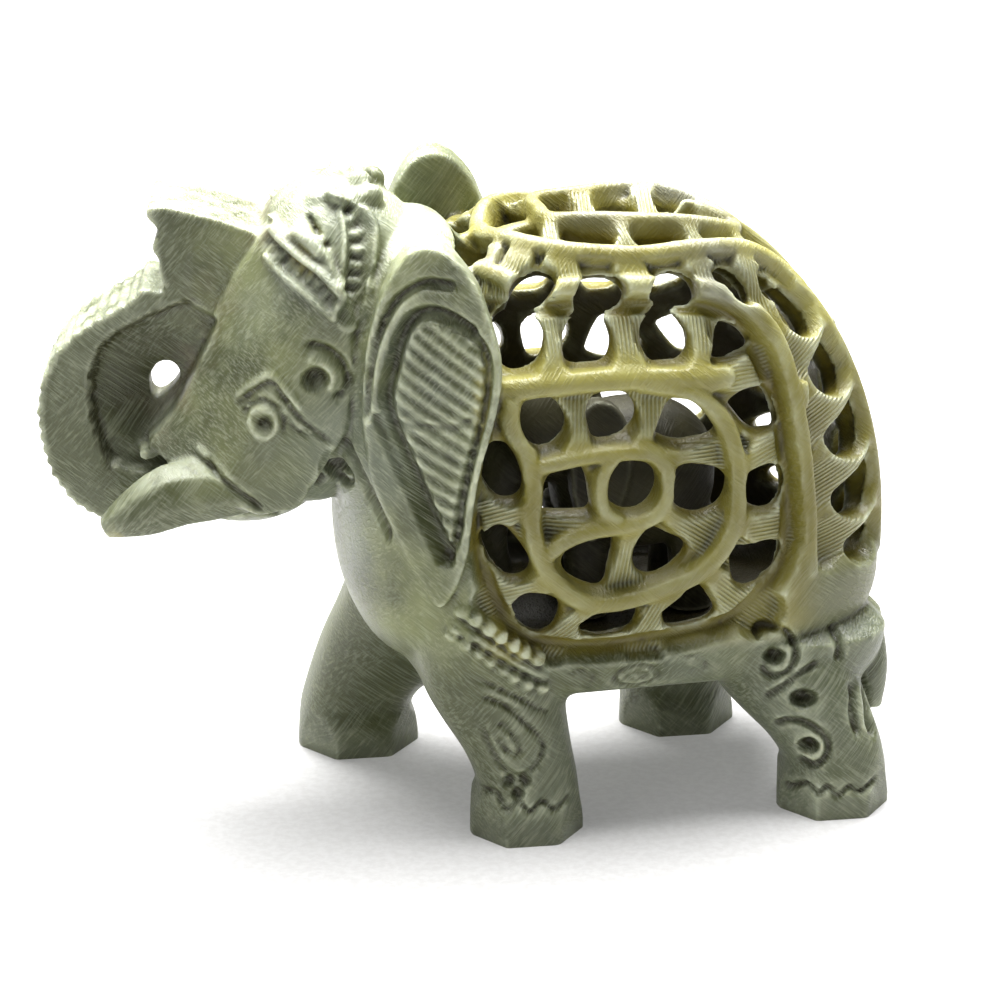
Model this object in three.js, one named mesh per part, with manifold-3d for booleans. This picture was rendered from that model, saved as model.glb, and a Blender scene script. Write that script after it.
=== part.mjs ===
// A soapstone elephant, trunk raised, carved in the round from one block.
// The body is a pierced shell of vines and leaves, and a calf carved free of the block stands inside it.
// Millimetres, +Z up. The elephant walks towards -X; +Y is its right side.
// The origin is at ground level under the middle of the figure's bounding box.
import * as THREE from "three";
import { mergeVertices } from "three/addons/utils/BufferGeometryUtils.js";
import Module from "manifold-3d";

const wasm = await Module();
wasm.setup();

// ---------------------------------------------------------------- driving dimensions
// A lump reaches its own distance each way from its middle, and each way has its own squareness.
// A squareness of 2 is an ellipse; larger is closer to a box.
const BODY = {
  middle: [22, 0, 34],
  reach: { aft: 29.6, fore: 31, side: 21, up: 41.4, down: 17.6 },
  square: { aft: 2, fore: 5, side: 4.5, up: 2, down: 4 },
};
const WALL = 3.4; // thickness of the pierced shell
const FLOOR_Z = 23; // top of the belly slab, which the calf stands on
const BELLY = {
  middle: [18, 0, 24],
  reach: { aft: 27, fore: 27, side: 19, up: 7.6, down: 7.6 },
  square: { aft: 5, fore: 5, side: 5, up: 5, down: 5 },
};
const CHEST = {
  middle: [-4, 0, 38],
  reach: { aft: 12, fore: 12, side: 17.8, up: 19, down: 19 },
  square: { aft: 2.6, fore: 2.6, side: 2.6, up: 2.6, down: 2.6 },
};
const NECK = {
  middle: [-3, 0, 55],
  reach: { aft: 15, fore: 14, side: 16, up: 21.5, down: 21.5 },
  square: { aft: 2.6, fore: 2.6, side: 2.6, up: 2.6, down: 2.6 },
};
const HEAD_TURN = THREE.MathUtils.degToRad(-12); // the head looks a little to the elephant's right
const NECK_PIVOT_X = -4;
const HOLE_TAPER = 0.78; // size of a piercing at the hollow, against its size at the surface
const WALL_REACH = 9; // how far a piercing is cut below the surface
const CALF_GAP = 0.3; // clearance under the calf's feet

const STONE = { color: 0x8a8c6c, roughness: 0.55, metalness: 0 };
const CALF_STONE = { color: 0x6d6a45, roughness: 0.6, metalness: 0 };

// ---------------------------------------------------------------- solids
// Six times the volume inside a closed indexed geometry: negative if its faces point in.
function signedVolume(geometry) {
  const [a, b, c] = [0, 1, 2].map(() => new THREE.Vector3());
  const place = geometry.attributes.position;
  const corners = geometry.index.array;
  let sum = 0;
  for (let i = 0; i < corners.length; i += 3) {
    a.fromBufferAttribute(place, corners[i]);
    b.fromBufferAttribute(place, corners[i + 1]);
    c.fromBufferAttribute(place, corners[i + 2]);
    sum += a.dot(b.cross(c));
  }
  return sum;
}

function solidOf(geometry) {
  const bare = geometry.index ? geometry.toNonIndexed() : geometry.clone();
  bare.deleteAttribute("normal");
  bare.deleteAttribute("uv");
  const merged = mergeVertices(bare, 1e-4);
  const corners = Array.from(merged.index.array);
  if (signedVolume(merged) < 0) corners.reverse();
  return new wasm.Manifold(
    new wasm.Mesh({
      numProp: 3,
      vertProperties: merged.attributes.position.array,
      triVerts: new Uint32Array(corners),
    }),
  );
}

function geometryOf(solid) {
  const mesh = solid.getMesh();
  const geometry = new THREE.BufferGeometry();
  geometry.setAttribute("position", new THREE.BufferAttribute(mesh.vertProperties, 3));
  geometry.setIndex(new THREE.BufferAttribute(mesh.triVerts, 1));
  geometry.computeVertexNormals();
  return geometry;
}

const union = (solids) => solids.reduce((whole, next) => whole.add(next));
const joined = (geometries) => union(geometries.map(solidOf));
const mirrored = (geometry) => geometry.clone().scale(1, -1, 1);

// The reach and squareness of a lump on the side of its middle that a direction points to.
function sideOf({ reach, square }, direction) {
  const names = [direction[0] > 0 ? "aft" : "fore", "side", direction[2] > 0 ? "up" : "down"];
  return { reach: names.map((name) => reach[name]), square: names.map((name) => square[name]) };
}

// How far along a direction the surface of a lump lies, by halving the bracket.
function distanceTo(form, direction) {
  const { reach, square } = sideOf(form, direction);
  let [inside, outside] = [0, 200];
  for (let i = 0; i < 40; i++) {
    const half = (inside + outside) / 2;
    const sum = direction.reduce((total, v, k) => total + Math.abs((v * half) / reach[k]) ** square[k], 0);
    if (sum < 1) inside = half;
    else outside = half;
  }
  return inside;
}

function lump(form, around = 20, down = 12) {
  const { reach, middle } = form;
  const geometry = new THREE.SphereGeometry(1, around, down);
  geometry.rotateX(Math.PI / 2);
  const place = geometry.attributes.position;
  for (let i = 0; i < place.count; i++) {
    const direction = [place.getX(i) * reach.aft, place.getY(i) * reach.side, place.getZ(i) * reach.up];
    const far = distanceTo(form, direction);
    place.setXYZ(i, ...direction.map((v, k) => middle[k] + v * far));
  }
  return geometry;
}

// A limb: oval sections square to a smooth path. A station is [x, y, z, half width across, half depth].
// The path lies near an XZ plane, so "across" is Y and depth is square to the path in that plane.
function limb(stations, sides = 10, steps = 1, power = 2.3) {
  const path = new THREE.CatmullRomCurve3(stations.map((s) => new THREE.Vector3(...s)));
  path.curveType = "centripetal";
  const rings = (stations.length - 1) * steps;
  const geometry = new THREE.CylinderGeometry(1, 1, 1, sides, rings);
  const place = geometry.attributes.position;
  const across = new THREE.Vector3(0, 1, 0);
  for (let i = 0; i < place.count; i++) {
    const t = THREE.MathUtils.clamp(0.5 - place.getY(i), 0, 1);
    const span = Math.min(Math.floor(t * (stations.length - 1)), stations.length - 2);
    const share = t * (stations.length - 1) - span;
    const ease = share * share * (3 - 2 * share);
    const wide = THREE.MathUtils.lerp(stations[span][3], stations[span + 1][3], ease);
    const deep = THREE.MathUtils.lerp(stations[span][4], stations[span + 1][4], ease);
    const middle = path.getPoint(t);
    const along = path.getTangent(t);
    const depthways = new THREE.Vector3().crossVectors(across, along).normalize();
    const [a, b] = [place.getX(i), place.getZ(i)];
    const size = Math.hypot(a, b);
    const squared = size > 0 ? size / (Math.abs(a) ** power + Math.abs(b) ** power) ** (1 / power) : 0;
    middle.addScaledVector(across, a * squared * wide);
    middle.addScaledVector(depthways, b * squared * deep);
    place.setXYZ(i, middle.x, middle.y, middle.z);
  }
  return geometry;
}

// A flat plate cut to an outline of [x, z] points, from y = near to y = near + thick.
function plate(outline, near, thick, steps = 20) {
  const curve = new THREE.SplineCurve(outline.map(([x, z]) => new THREE.Vector2(x, z)));
  const shape = new THREE.Shape(curve.getSpacedPoints(steps).slice(0, -1));
  const geometry = new THREE.ExtrudeGeometry(shape, { depth: thick, bevelEnabled: false });
  geometry.rotateX(Math.PI / 2); // the outline's second axis becomes Z
  geometry.translate(0, near + thick, 0);
  return geometry;
}

// ---------------------------------------------------------------- legs and body mass
// Each leg leans from the body to a foot: the left legs trail, the right legs step forward.
function leg({ hip, foot, size }) {
  const [kneeX, kneeY] = [0.45, 0.55].map((t, i) => hip[i] + (foot[i] - hip[i]) * (1 - t / 2));
  return limb([
    [foot[0], foot[1], -1, size * 1.08, size * 1.08],
    [foot[0], foot[1], 2.2, size * 1.1, size * 1.1],
    [foot[0] + 0.3, foot[1], 5.5, size * 0.96, size * 0.98],
    [kneeX, kneeY, 12, size * 0.98, size * 1.04],
    [hip[0], hip[1], 22, size * 1.15, size * 1.4],
    [hip[0], hip[1] * 0.9, 32, size * 0.9, size * 1.2],
  ]);
}

const LEGS = [
  { hip: [0.5, -12, 0], foot: [4.2, -15.5], size: 6.5 },
  { hip: [36.5, -12, 0], foot: [43.6, -16.5], size: 6.5 },
  { hip: [-3, 11.5, 0], foot: [-11, 16], size: 7.2 },
  { hip: [33, 10, 0], foot: [31.5, 13.5], size: 7.0 },
];

// ---------------------------------------------------------------- piercings of the body
// The point of the body's skin over two known coordinates, and the outward normal there.
// axis is the coordinate being found, and way is which side of the body it is on.
function skinOver(known, axis, way) {
  const point = [...known];
  point[axis] = way;
  const offset = point.map((v, k) => (k === axis ? way : v - BODY.middle[k]));
  const { reach, square } = sideOf(BODY, offset);
  const used = offset.reduce((sum, v, k) => sum + (k === axis ? 0 : Math.abs(v / reach[k]) ** square[k]), 0);
  offset[axis] = way * reach[axis] * Math.max(1 - used, 0.001) ** (1 / square[axis]);
  const slope = offset.map((v, k) => (Math.sign(v) * Math.abs(v / reach[k]) ** (square[k] - 1) * square[k]) / reach[k]);
  return {
    point: new THREE.Vector3(...offset.map((v, k) => v + BODY.middle[k])),
    normal: new THREE.Vector3(...slope).normalize(),
  };
}

// A piercing: a tapered six-sided prism sunk square to the skin, turned in its own plane by lean.
// wide runs along the body, or across it on the rump, and tall up it.
function piercing({ point, normal }, wide, tall, lean = 0) {
  const along = new THREE.Vector3(1, 0, 0);
  if (Math.abs(normal.x) > 0.8) along.set(0, 1, 0);
  along.addScaledVector(normal, -along.dot(normal)).normalize();
  const up = new THREE.Vector3().crossVectors(normal, along);
  const geometry = new THREE.CylinderGeometry(1, HOLE_TAPER, WALL_REACH + 4, 6, 1);
  geometry.rotateX(Math.PI / 2);
  geometry.scale(wide / 2, tall / 2, 1);
  geometry.rotateZ(lean);
  geometry.translate(0, 0, 4 - (WALL_REACH + 4) / 2);
  geometry.applyMatrix4(new THREE.Matrix4().makeBasis(along, up, normal).setPosition(point));
  return geometry;
}

// Flank: a hub, a ring of piercings round it inside the round vine, and a second ring outside it.
const HUB = [16.6, 44.5];
const HUB_SIZE = 6.4;
const INNER_RING = { reach: [9.2, 9.8], size: [7.4, 7.2], degrees: [47, 106, 180, 244, 292, 354] };
const OUTER_RING = {
  reach: [17, 18.2],
  size: [7.2, 7.2],
  degrees: [33, -4, -35, -66, -97, -129, -156, 169, 139],
};
const TOP_OF_FLANK = { along: [2.2, 10.8, 19.8, 28.6], up: 62.8, size: [8, 7.6] };

function flankPiercings(side) {
  const at = (along, up, wide, tall) => piercing(skinOver([along, 0, up], 1, side), wide, tall);
  const made = [at(...HUB, HUB_SIZE, HUB_SIZE)];
  for (const { reach, size, degrees } of [INNER_RING, OUTER_RING])
    for (const turn of degrees.map(THREE.MathUtils.degToRad))
      made.push(at(HUB[0] + reach[0] * Math.cos(turn), HUB[1] + reach[1] * Math.sin(turn), ...size));
  for (const along of TOP_OF_FLANK.along) made.push(at(along, TOP_OF_FLANK.up, ...TOP_OF_FLANK.size));
  return made;
}

// Back: a row along each rounded edge, and a row along each side of the oval vine on the spine.
const BACK_ROWS = [
  { along: [5, 13.6, 22.2, 30.8], out: 15.4, size: [7.6, 6.8], lean: 0.25 },
  { along: [1.6, 10, 18.4, 26.8, 34.4], out: 6.6, size: [7.4, 7.6], lean: 0.35 },
];
// Rump: a column behind each flank frame, and one each side of the tail.
const RUMP_COLUMNS = [
  { up: [36, 45, 54, 62.5], out: 16.4, size: [6.6, 8] },
  { up: [38, 47.5, 57, 66], out: 6.6, size: [7.4, 8] },
];

function backAndRumpPiercings() {
  const made = [];
  for (const side of [-1, 1]) {
    for (const { along, out, size, lean } of BACK_ROWS)
      for (const x of along) made.push(piercing(skinOver([x, side * out, 0], 2, 1), ...size, side * lean));
    for (const { up, out, size } of RUMP_COLUMNS)
      for (const z of up) made.push(piercing(skinOver([0, side * out, z], 0, 1), ...size));
  }
  return made;
}

// ---------------------------------------------------------------- head
// Everything of the head is drawn straight ahead and turned about the neck at the end.
const HEAD_STATIONS = [
  [-13.5, 0, 79.2, 4, 3.5],
  [-14, 0, 76.5, 9, 7.5],
  [-15.2, 0, 71, 12.2, 10.4],
  [-18, 0, 63, 13.8, 12],
  [-21.4, 0, 55, 13.4, 12.6],
  [-25.5, 0, 47.5, 10.6, 11.5],
  [-27.5, 0, 41.5, 7.5, 8.6],
  [-27.8, 0, 38, 4.6, 5.5],
];
const TRUNK_STATIONS = [
  [-28, 0, 49, 7.5, 6.4],
  [-36.5, 0, 43.6, 6.8, 4.9],
  [-43.4, 0, 43.2, 6.6, 4.6],
  [-47.2, 0, 48.2, 6.4, 4.8],
  [-46.4, 0, 54.8, 6.4, 4.8],
  [-42.4, 0, 59.6, 6.2, 4.8],
  [-37, 0, 62.8, 6, 4.6],
  [-32.4, 0, 67.2, 5.6, 4.4],
  [-31, 0, 71.6, 5.8, 5],
  [-31.2, 0, 75.4, 6, 6.2],
];
const TUSK_STATIONS = [
  [-26.5, -7.6, 44.2, 3.6, 4.8],
  [-31.5, -10.6, 43, 3.8, 4.6],
  [-38, -12.2, 40.8, 3.2, 3.8],
  [-42.4, -13, 39.4, 2.2, 2.6],
  [-43.8, -13.2, 38.9, 0.9, 1.1],
];
// The web of stone left inside the trunk's curl, and the small piercing through its middle.
const CURL_WEB = {
  middle: [-37.4, 0, 54.6],
  reach: { aft: 8, fore: 8.6, side: 4.2, up: 8.6, down: 10 },
  square: { aft: 2.4, fore: 2.4, side: 3, up: 2.4, down: 2.4 },
};
const CURL_PIERCING = { middle: [-36.6, 55.2], wide: 4, tall: 5 };
const EAR_OUTLINE = [
  [-14.5, 50],
  [-14, 60],
  [-11.4, 68.6],
  [-8, 74.4],
  [-4, 76],
  [0.2, 73],
  [3.4, 66],
  [4.2, 60],
  [2.4, 51],
  [0.6, 41],
  [-2.4, 31],
  [-8.4, 38],
  [-14.5, 50],
];
const RIGHT_EAR_RISE = 3.4; // the right ear stands a little higher than the left
const EAR_HINGE_X = -14;
const EAR_HINGE_Y = 11.6;
const EAR_SPLAY = THREE.MathUtils.degToRad(27);
const EAR_THICK = 3.2;

function ear() {
  const flat = EAR_OUTLINE.map(([x, z]) => [(x - EAR_HINGE_X) / Math.cos(EAR_SPLAY), z]);
  const geometry = plate(flat, -EAR_THICK, EAR_THICK);
  geometry.rotateZ(-EAR_SPLAY);
  geometry.translate(EAR_HINGE_X, -EAR_HINGE_Y, 0);
  return geometry;
}

// The cap is the head's own form, a little larger, kept only inside a lozenge over the brow.
function browLozenge() {
  const lozenge = new THREE.CylinderGeometry(12.5, 12.5, 16, 4, 1);
  lozenge.rotateY(Math.PI / 4);
  lozenge.rotateZ(Math.PI / 2);
  lozenge.rotateX(Math.PI / 4);
  lozenge.rotateY(THREE.MathUtils.degToRad(38));
  lozenge.translate(-22, 0, 74.5);
  return lozenge;
}

function turnedWithHead(geometry) {
  const turned = geometry.clone();
  turned.translate(-NECK_PIVOT_X, 0, 0);
  turned.rotateZ(HEAD_TURN);
  turned.translate(NECK_PIVOT_X, 0, 0);
  return turned;
}

function head() {
  const lip = {
    middle: [-26, 0, 38.2],
    reach: { aft: 5.6, fore: 5.6, side: 4.4, up: 2.4, down: 2.4 },
    square: { aft: 2, fore: 2, side: 2, up: 2, down: 2 },
  };
  const tusk = limb(TUSK_STATIONS, 8, 1);
  const forms = [limb(HEAD_STATIONS, 14, 1), limb(TRUNK_STATIONS, 10, 2), lump(CURL_WEB, 10, 6), lump(lip, 8, 5)];
  forms.push(tusk, mirrored(tusk), ear(), mirrored(ear()).translate(0, 0, RIGHT_EAR_RISE));
  const proud = HEAD_STATIONS.map(([x, y, z, wide, deep]) => [x, y, z, wide + 0.9, deep + 0.9]);
  const [crown, lozenge] = [limb(proud, 14, 1), browLozenge()].map(turnedWithHead).map(solidOf);
  const through = new THREE.CylinderGeometry(CURL_PIERCING.wide / 2, CURL_PIERCING.wide / 2, 30, 8, 1);
  through.scale(1, 1, CURL_PIERCING.tall / CURL_PIERCING.wide);
  through.translate(CURL_PIERCING.middle[0], 0, CURL_PIERCING.middle[1]);
  const carved = joined(forms.map(turnedWithHead)).subtract(solidOf(turnedWithHead(through)));
  return carved.add(crown.intersect(lozenge));
}

// ---------------------------------------------------------------- tail
function tail() {
  return limb(
    [
      [49, 0, 53, 1.8, 1.6],
      [51.2, -0.8, 42, 1.7, 1.5],
      [51.2, -3.5, 31, 1.7, 1.6],
      [50.2, -8, 22.5, 2.4, 2],
      [50.2, -11, 15.5, 2.9, 2.2],
      [50.6, -12, 10, 1, 1],
    ],
    8,
    2,
  );
}

// ---------------------------------------------------------------- the elephant
function shrunk(form, by) {
  const reach = Object.fromEntries(Object.entries(form.reach).map(([way, far]) => [way, far - by]));
  return { ...form, reach };
}

function slab(low, high) {
  const geometry = new THREE.BoxGeometry(200, 200, high - low);
  geometry.translate(0, 0, (low + high) / 2);
  return solidOf(geometry);
}

function elephant() {
  const block = joined([
    lump(BODY, 22, 13),
    lump(BELLY, 12, 8),
    lump(CHEST, 12, 8),
    lump(NECK, 12, 8),
    ...LEGS.map(leg),
  ]);
  const room = solidOf(lump(shrunk(BODY, WALL), 16, 10)).intersect(slab(FLOOR_Z, FLOOR_Z + 80));
  const piercings = joined([...flankPiercings(-1), ...flankPiercings(1), ...backAndRumpPiercings()]);
  const pierced = block.subtract(room).subtract(piercings);
  return pierced.add(solidOf(tail())).add(head().subtract(room)).subtract(slab(-20, 0));
}

// ---------------------------------------------------------------- the calf inside
const CALF_BODY = {
  middle: [21.5, 0, 40],
  reach: { aft: 10.5, fore: 10.5, side: 7.6, up: 9.6, down: 9.6 },
  square: { aft: 2.6, fore: 2.6, side: 2.6, up: 2.6, down: 2.6 },
};
const CALF_HEAD = {
  middle: [10.5, 0, 47],
  reach: { aft: 6.4, fore: 6.4, side: 6.2, up: 7.2, down: 7.2 },
  square: { aft: 2.4, fore: 2.4, side: 2.4, up: 2.4, down: 2.4 },
};

function calf() {
  const ground = FLOOR_Z + CALF_GAP;
  const calfLegs = [
    [14.5, -4.6],
    [14.5, 4.6],
    [28, -4.6],
    [28, 4.6],
  ].map(([x, y]) =>
    limb(
      [
        [x, y, ground, 2.7, 2.8],
        [x, y, ground + 3, 2.4, 2.5],
        [x, y, ground + 9, 2.8, 3.2],
      ],
      10,
      1,
    ),
  );
  const calfEar = plate(
    [
      [12, 40],
      [11.6, 47],
      [14.5, 52],
      [18.5, 50],
      [19.4, 43],
      [17, 36],
      [14, 34],
      [12, 40],
    ],
    -8.4,
    1.8,
    12,
  );
  return joined([
    lump(CALF_BODY, 14, 8),
    lump(CALF_HEAD, 12, 8),
    limb(
      [
        [8, 0, 45, 3.4, 3.4],
        [4.4, 0, 39, 2.6, 2.6],
        [3.2, 0, 32, 2, 2],
        [4.6, 0, 27, 1.6, 1.6],
      ],
      8,
      2,
    ),
    calfEar,
    mirrored(calfEar),
    ...calfLegs,
  ]);
}

// ---------------------------------------------------------------- scene
function pieceOf(name, solid, look) {
  const mesh = new THREE.Mesh(geometryOf(solid), new THREE.MeshStandardMaterial(look));
  mesh.name = name;
  return mesh;
}

const sculpture = new THREE.Group();
sculpture.add(pieceOf("elephant", elephant(), STONE));
sculpture.add(pieceOf("calf", calf(), CALF_STONE));

// The figure stands over the origin.
const middle = new THREE.Box3().setFromObject(sculpture).getCenter(new THREE.Vector3());
sculpture.position.set(-middle.x, -middle.y, 0);

export default sculpture;
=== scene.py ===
"""A soapstone elephant with a raised trunk and a body pierced in vines and leaves, and the calf inside it.

The forms are made in millimetres, in the elephant's own frame: it walks towards -X and its left side is -Y.
At the end each piece is moved onto its CAD node and scaled to metres.
"""

import math

import bpy
import numpy as np
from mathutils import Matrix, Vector


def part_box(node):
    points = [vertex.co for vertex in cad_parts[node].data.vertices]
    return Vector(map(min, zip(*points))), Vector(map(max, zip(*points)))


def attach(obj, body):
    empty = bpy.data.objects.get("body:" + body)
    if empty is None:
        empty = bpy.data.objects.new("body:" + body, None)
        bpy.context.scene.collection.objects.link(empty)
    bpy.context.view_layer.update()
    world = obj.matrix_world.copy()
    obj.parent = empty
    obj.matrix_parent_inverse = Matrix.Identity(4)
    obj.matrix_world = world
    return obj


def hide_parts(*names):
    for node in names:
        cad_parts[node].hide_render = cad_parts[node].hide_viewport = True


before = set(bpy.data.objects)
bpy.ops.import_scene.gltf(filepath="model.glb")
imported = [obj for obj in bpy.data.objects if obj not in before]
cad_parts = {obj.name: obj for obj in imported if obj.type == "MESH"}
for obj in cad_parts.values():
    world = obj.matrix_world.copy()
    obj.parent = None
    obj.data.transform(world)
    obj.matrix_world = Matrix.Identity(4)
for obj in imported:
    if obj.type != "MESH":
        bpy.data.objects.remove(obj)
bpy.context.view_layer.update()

MM = 0.001
LOW, _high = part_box("elephant")
ORIGIN = np.array([LOW.x / MM + 51.1, LOW.y / MM + 24.49, LOW.z / MM])

FINE = 0.33  # the finest detail of the carved surface
COMB_PITCH = 0.5  # distance between the scratches of the carver's saw blade
RIB_PITCH = 1.65  # distance between the ribs on the ear's panel
WALL = 4.0  # thickness of the pierced shell
HOLLOW_FLOOR = 22.9  # height of the hollow's floor
CALF_GAP = 0.4  # clearance under the calf's feet
PANEL_FRONT, PANEL_FOOT = -3.6, 22.5  # where the pierced panels begin, in x and in z
GROUND_DEPTH = 1.7  # how low the stone lies between the vines
PIERCING_SIDES = 28  # corners of each piercing's smooth rim

# ---------------------------------------------------------------- small tools


def deselect():
    bpy.ops.object.select_all(action="DESELECT")


def places(piece):
    found = np.zeros(len(piece.data.vertices) * 3)
    piece.data.vertices.foreach_get("co", found)
    return found.reshape(-1, 3)


def put(piece, points):
    piece.data.vertices.foreach_set("co", np.asarray(points, float).ravel())
    piece.data.update()


def normals(piece):
    found = np.zeros(len(piece.data.vertices) * 3, np.float32)
    piece.data.vertex_normals.foreach_get("vector", found)
    return found.reshape(-1, 3).astype(float)


def choose(piece):
    deselect()
    piece.select_set(True)
    bpy.context.view_layer.objects.active = piece


def join(pieces, name):
    deselect()
    for piece in pieces:
        piece.select_set(True)
    bpy.context.view_layer.objects.active = pieces[0]
    bpy.ops.object.join()
    whole = bpy.context.object
    whole.name = name
    return whole


def apply_modifier(piece, kind, **settings):
    choose(piece)
    modifier = piece.modifiers.new(kind.lower(), kind)
    for name, value in settings.items():
        setattr(modifier, name, value)
    bpy.ops.object.modifier_apply(modifier=modifier.name)
    return piece


def fuse(piece, size):
    """Every overlapping form becomes one closed skin."""
    return apply_modifier(piece, "REMESH", mode="VOXEL", voxel_size=size)


def soften(piece, times, factor=0.5):
    return apply_modifier(piece, "SMOOTH", iterations=times, factor=factor)


def cut(piece, tool):
    apply_modifier(piece, "BOOLEAN", operation="DIFFERENCE", object=tool, solver="MANIFOLD")
    bpy.data.objects.remove(tool)
    return piece


def face_outward(piece):
    """Triangles only, all facing out, so that the piece can be a cutting tool."""
    choose(piece)
    bpy.ops.object.mode_set(mode="EDIT")
    bpy.ops.mesh.select_all(action="SELECT")
    bpy.ops.mesh.quads_convert_to_tris()
    bpy.ops.mesh.normals_make_consistent(inside=False)
    bpy.ops.object.mode_set(mode="OBJECT")


def unit(vectors):
    return vectors / np.maximum(np.linalg.norm(vectors, axis=-1, keepdims=True), 1e-9)


def ramp(value, low, high):
    share = np.clip((value - low) / (high - low), 0, 1)
    return share * share * (3 - 2 * share)


def through(points, count, smooth=True):
    """A smooth line through the points, in count even steps. Columns after the third ride along."""
    points = np.asarray(points, float)
    if smooth and len(points) > 2:
        ends = np.vstack([2 * points[0] - points[1], points, 2 * points[-1] - points[-2]])
        fine = []
        for a, b, c, d in zip(ends, ends[1:], ends[2:], ends[3:]):
            for t in np.linspace(0, 1, 12, endpoint=False):
                fine.append(
                    0.5
                    * (
                        2 * b
                        + (c - a) * t
                        + (2 * a - 5 * b + 4 * c - d) * t**2
                        + (3 * b - a - 3 * c + d) * t**3
                    )
                )
        points = np.array(fine + [points[-1]])
    length = np.r_[0, np.cumsum(np.linalg.norm(np.diff(points[:, :3], axis=0), axis=1))]
    at = np.linspace(0, length[-1], count)
    return np.column_stack([np.interp(at, length, column) for column in points.T])


def within_outline(points, outline):
    """Which points lie inside a closed outline, both seen flat."""
    inside = np.zeros(len(points), bool)
    ends = np.array(outline)
    for a, b in zip(ends, np.roll(ends, -1, axis=0)):
        spans = (a[1] > points[:, 1]) != (b[1] > points[:, 1])
        rise = b[1] - a[1] if abs(b[1] - a[1]) > 1e-9 else 1e-9
        inside ^= spans & (points[:, 0] < a[0] + (points[:, 1] - a[1]) * (b[0] - a[0]) / rise)
    return inside


# ---------------------------------------------------------------- basic forms
def sweep(centres, across, outward, wide, deep, power=2.4, sides=16):
    """A ball drawn out along a line of sections. Each section is a squared oval."""
    rings = len(centres)
    deselect()
    bpy.ops.mesh.primitive_uv_sphere_add(segments=sides, ring_count=rings + 1, radius=1)
    piece = bpy.context.object
    place = places(piece)
    turn = np.arctan2(place[:, 1], place[:, 0])
    ring = np.rint(np.arccos(np.clip(place[:, 2], -1, 1)) / math.pi * (rings + 1)).astype(int) - 1
    pole = (ring < 0) | (ring >= rings)
    ring = np.clip(ring, 0, rings - 1)
    side, rise = np.cos(turn), np.sin(turn)
    size = (np.abs(side) ** power + np.abs(rise) ** power) ** (-1 / power)
    size[pole] = 0
    put(
        piece,
        centres[ring]
        + across[ring] * (side * size * wide[ring])[:, None]
        + outward[ring] * (rise * size * deep[ring])[:, None],
    )
    return piece


def limb(stations, sides=24, step=1.2, power=2.3):
    """A limb along stations of x, y, z, half width across and half depth."""
    stations = np.asarray(stations, float)
    length = np.linalg.norm(np.diff(stations[:, :3], axis=0), axis=1).sum()
    line = through(stations, max(int(length / step), 6))
    centres, wide, deep = line[:, :3], line[:, 3], line[:, 4]
    along = unit(np.gradient(centres, axis=0))
    outward = unit(np.cross(np.array([0.0, 1.0, 0.0]), along))
    across = unit(np.cross(along, outward))
    return sweep(centres, across, outward, wide, deep, power, sides)


# A lump reaches its own distance each way from its middle, and each way has its own squareness.
BODY = {
    "middle": np.array([22.0, 0.0, 34.0]),
    "reach": {"aft": 29.6, "fore": 31, "side": 21, "up": 41.4, "down": 17.6},
    "square": {"aft": 2, "fore": 5, "side": 4.5, "up": 2, "down": 4},
}


def form_at(form, offset):
    """How full the form is at an offset from its middle: 1 on its skin. And the slope of that."""
    ways = [
        np.where(offset[..., 0] > 0, 0, 1),
        np.full(offset.shape[:-1], 2),
        np.where(offset[..., 2] > 0, 3, 4),
    ]
    reach = np.array([form["reach"][k] for k in ("aft", "fore", "side", "up", "down")], float)
    square = np.array([form["square"][k] for k in ("aft", "fore", "side", "up", "down")], float)
    total = np.zeros(offset.shape[:-1])
    slope = np.zeros(offset.shape)
    for axis, way in enumerate(ways):
        share = np.abs(offset[..., axis]) / reach[way]
        total += share ** square[way]
        slope[..., axis] = np.sign(offset[..., axis]) * square[way] * share ** (square[way] - 1) / reach[way]
    return total, slope


def lump(middle, reach, square, segments=64, rings=40):
    """reach is aft, fore, side, up, down. square is one number, or one for each way."""
    ways = ("aft", "fore", "side", "up", "down")
    if not isinstance(square, (tuple, list)):
        square = (square,) * 5
    form = {"reach": dict(zip(ways, reach)), "square": dict(zip(ways, square))}
    deselect()
    bpy.ops.mesh.primitive_uv_sphere_add(segments=segments, ring_count=rings, radius=1)
    piece = bpy.context.object
    heading = places(piece) * np.array([(reach[0] + reach[1]) / 2, reach[2], (reach[3] + reach[4]) / 2])
    inside, outside = np.zeros(len(heading)), np.full(len(heading), 5.0)
    for _ in range(30):
        half = (inside + outside) / 2
        full, _slope = form_at(form, heading * half[:, None])
        inside, outside = np.where(full < 1, half, inside), np.where(full < 1, outside, half)
    put(piece, np.asarray(middle, float) + heading * inside[:, None])
    return piece


def body_lump(shrink=0):
    ways = ("aft", "fore", "side", "up", "down")
    reach = [BODY["reach"][way] - shrink for way in ways]
    return lump(BODY["middle"], reach, [BODY["square"][way] for way in ways], 96, 64)


def onto_skin(points):
    """Points near the body, moved straight out or in to its skin."""
    points = np.array(points, float)
    for _ in range(6):
        full, slope = form_at(BODY, points - BODY["middle"])
        points -= slope * ((full - 1) / np.maximum((slope**2).sum(-1), 1e-6))[:, None]
    return points


def skin_normals(points):
    return unit(form_at(BODY, points - BODY["middle"])[1])


def skin(x=None, y=None, z=None, side=1):
    """The point of the body's skin over two coordinates. side is which of the two such points."""
    known = np.array([0 if v is None else v for v in (x, y, z)], float)
    axis = [x, y, z].index(None)
    low, high = 0.0, 80.0
    for _ in range(40):
        half = (low + high) / 2
        point = known.copy()
        point[axis] = BODY["middle"][axis] + side * half
        full, _slope = form_at(BODY, point - BODY["middle"])
        low, high = (half, high) if full < 1 else (low, half)
    point[axis] = BODY["middle"][axis] + side * low
    return point


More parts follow.
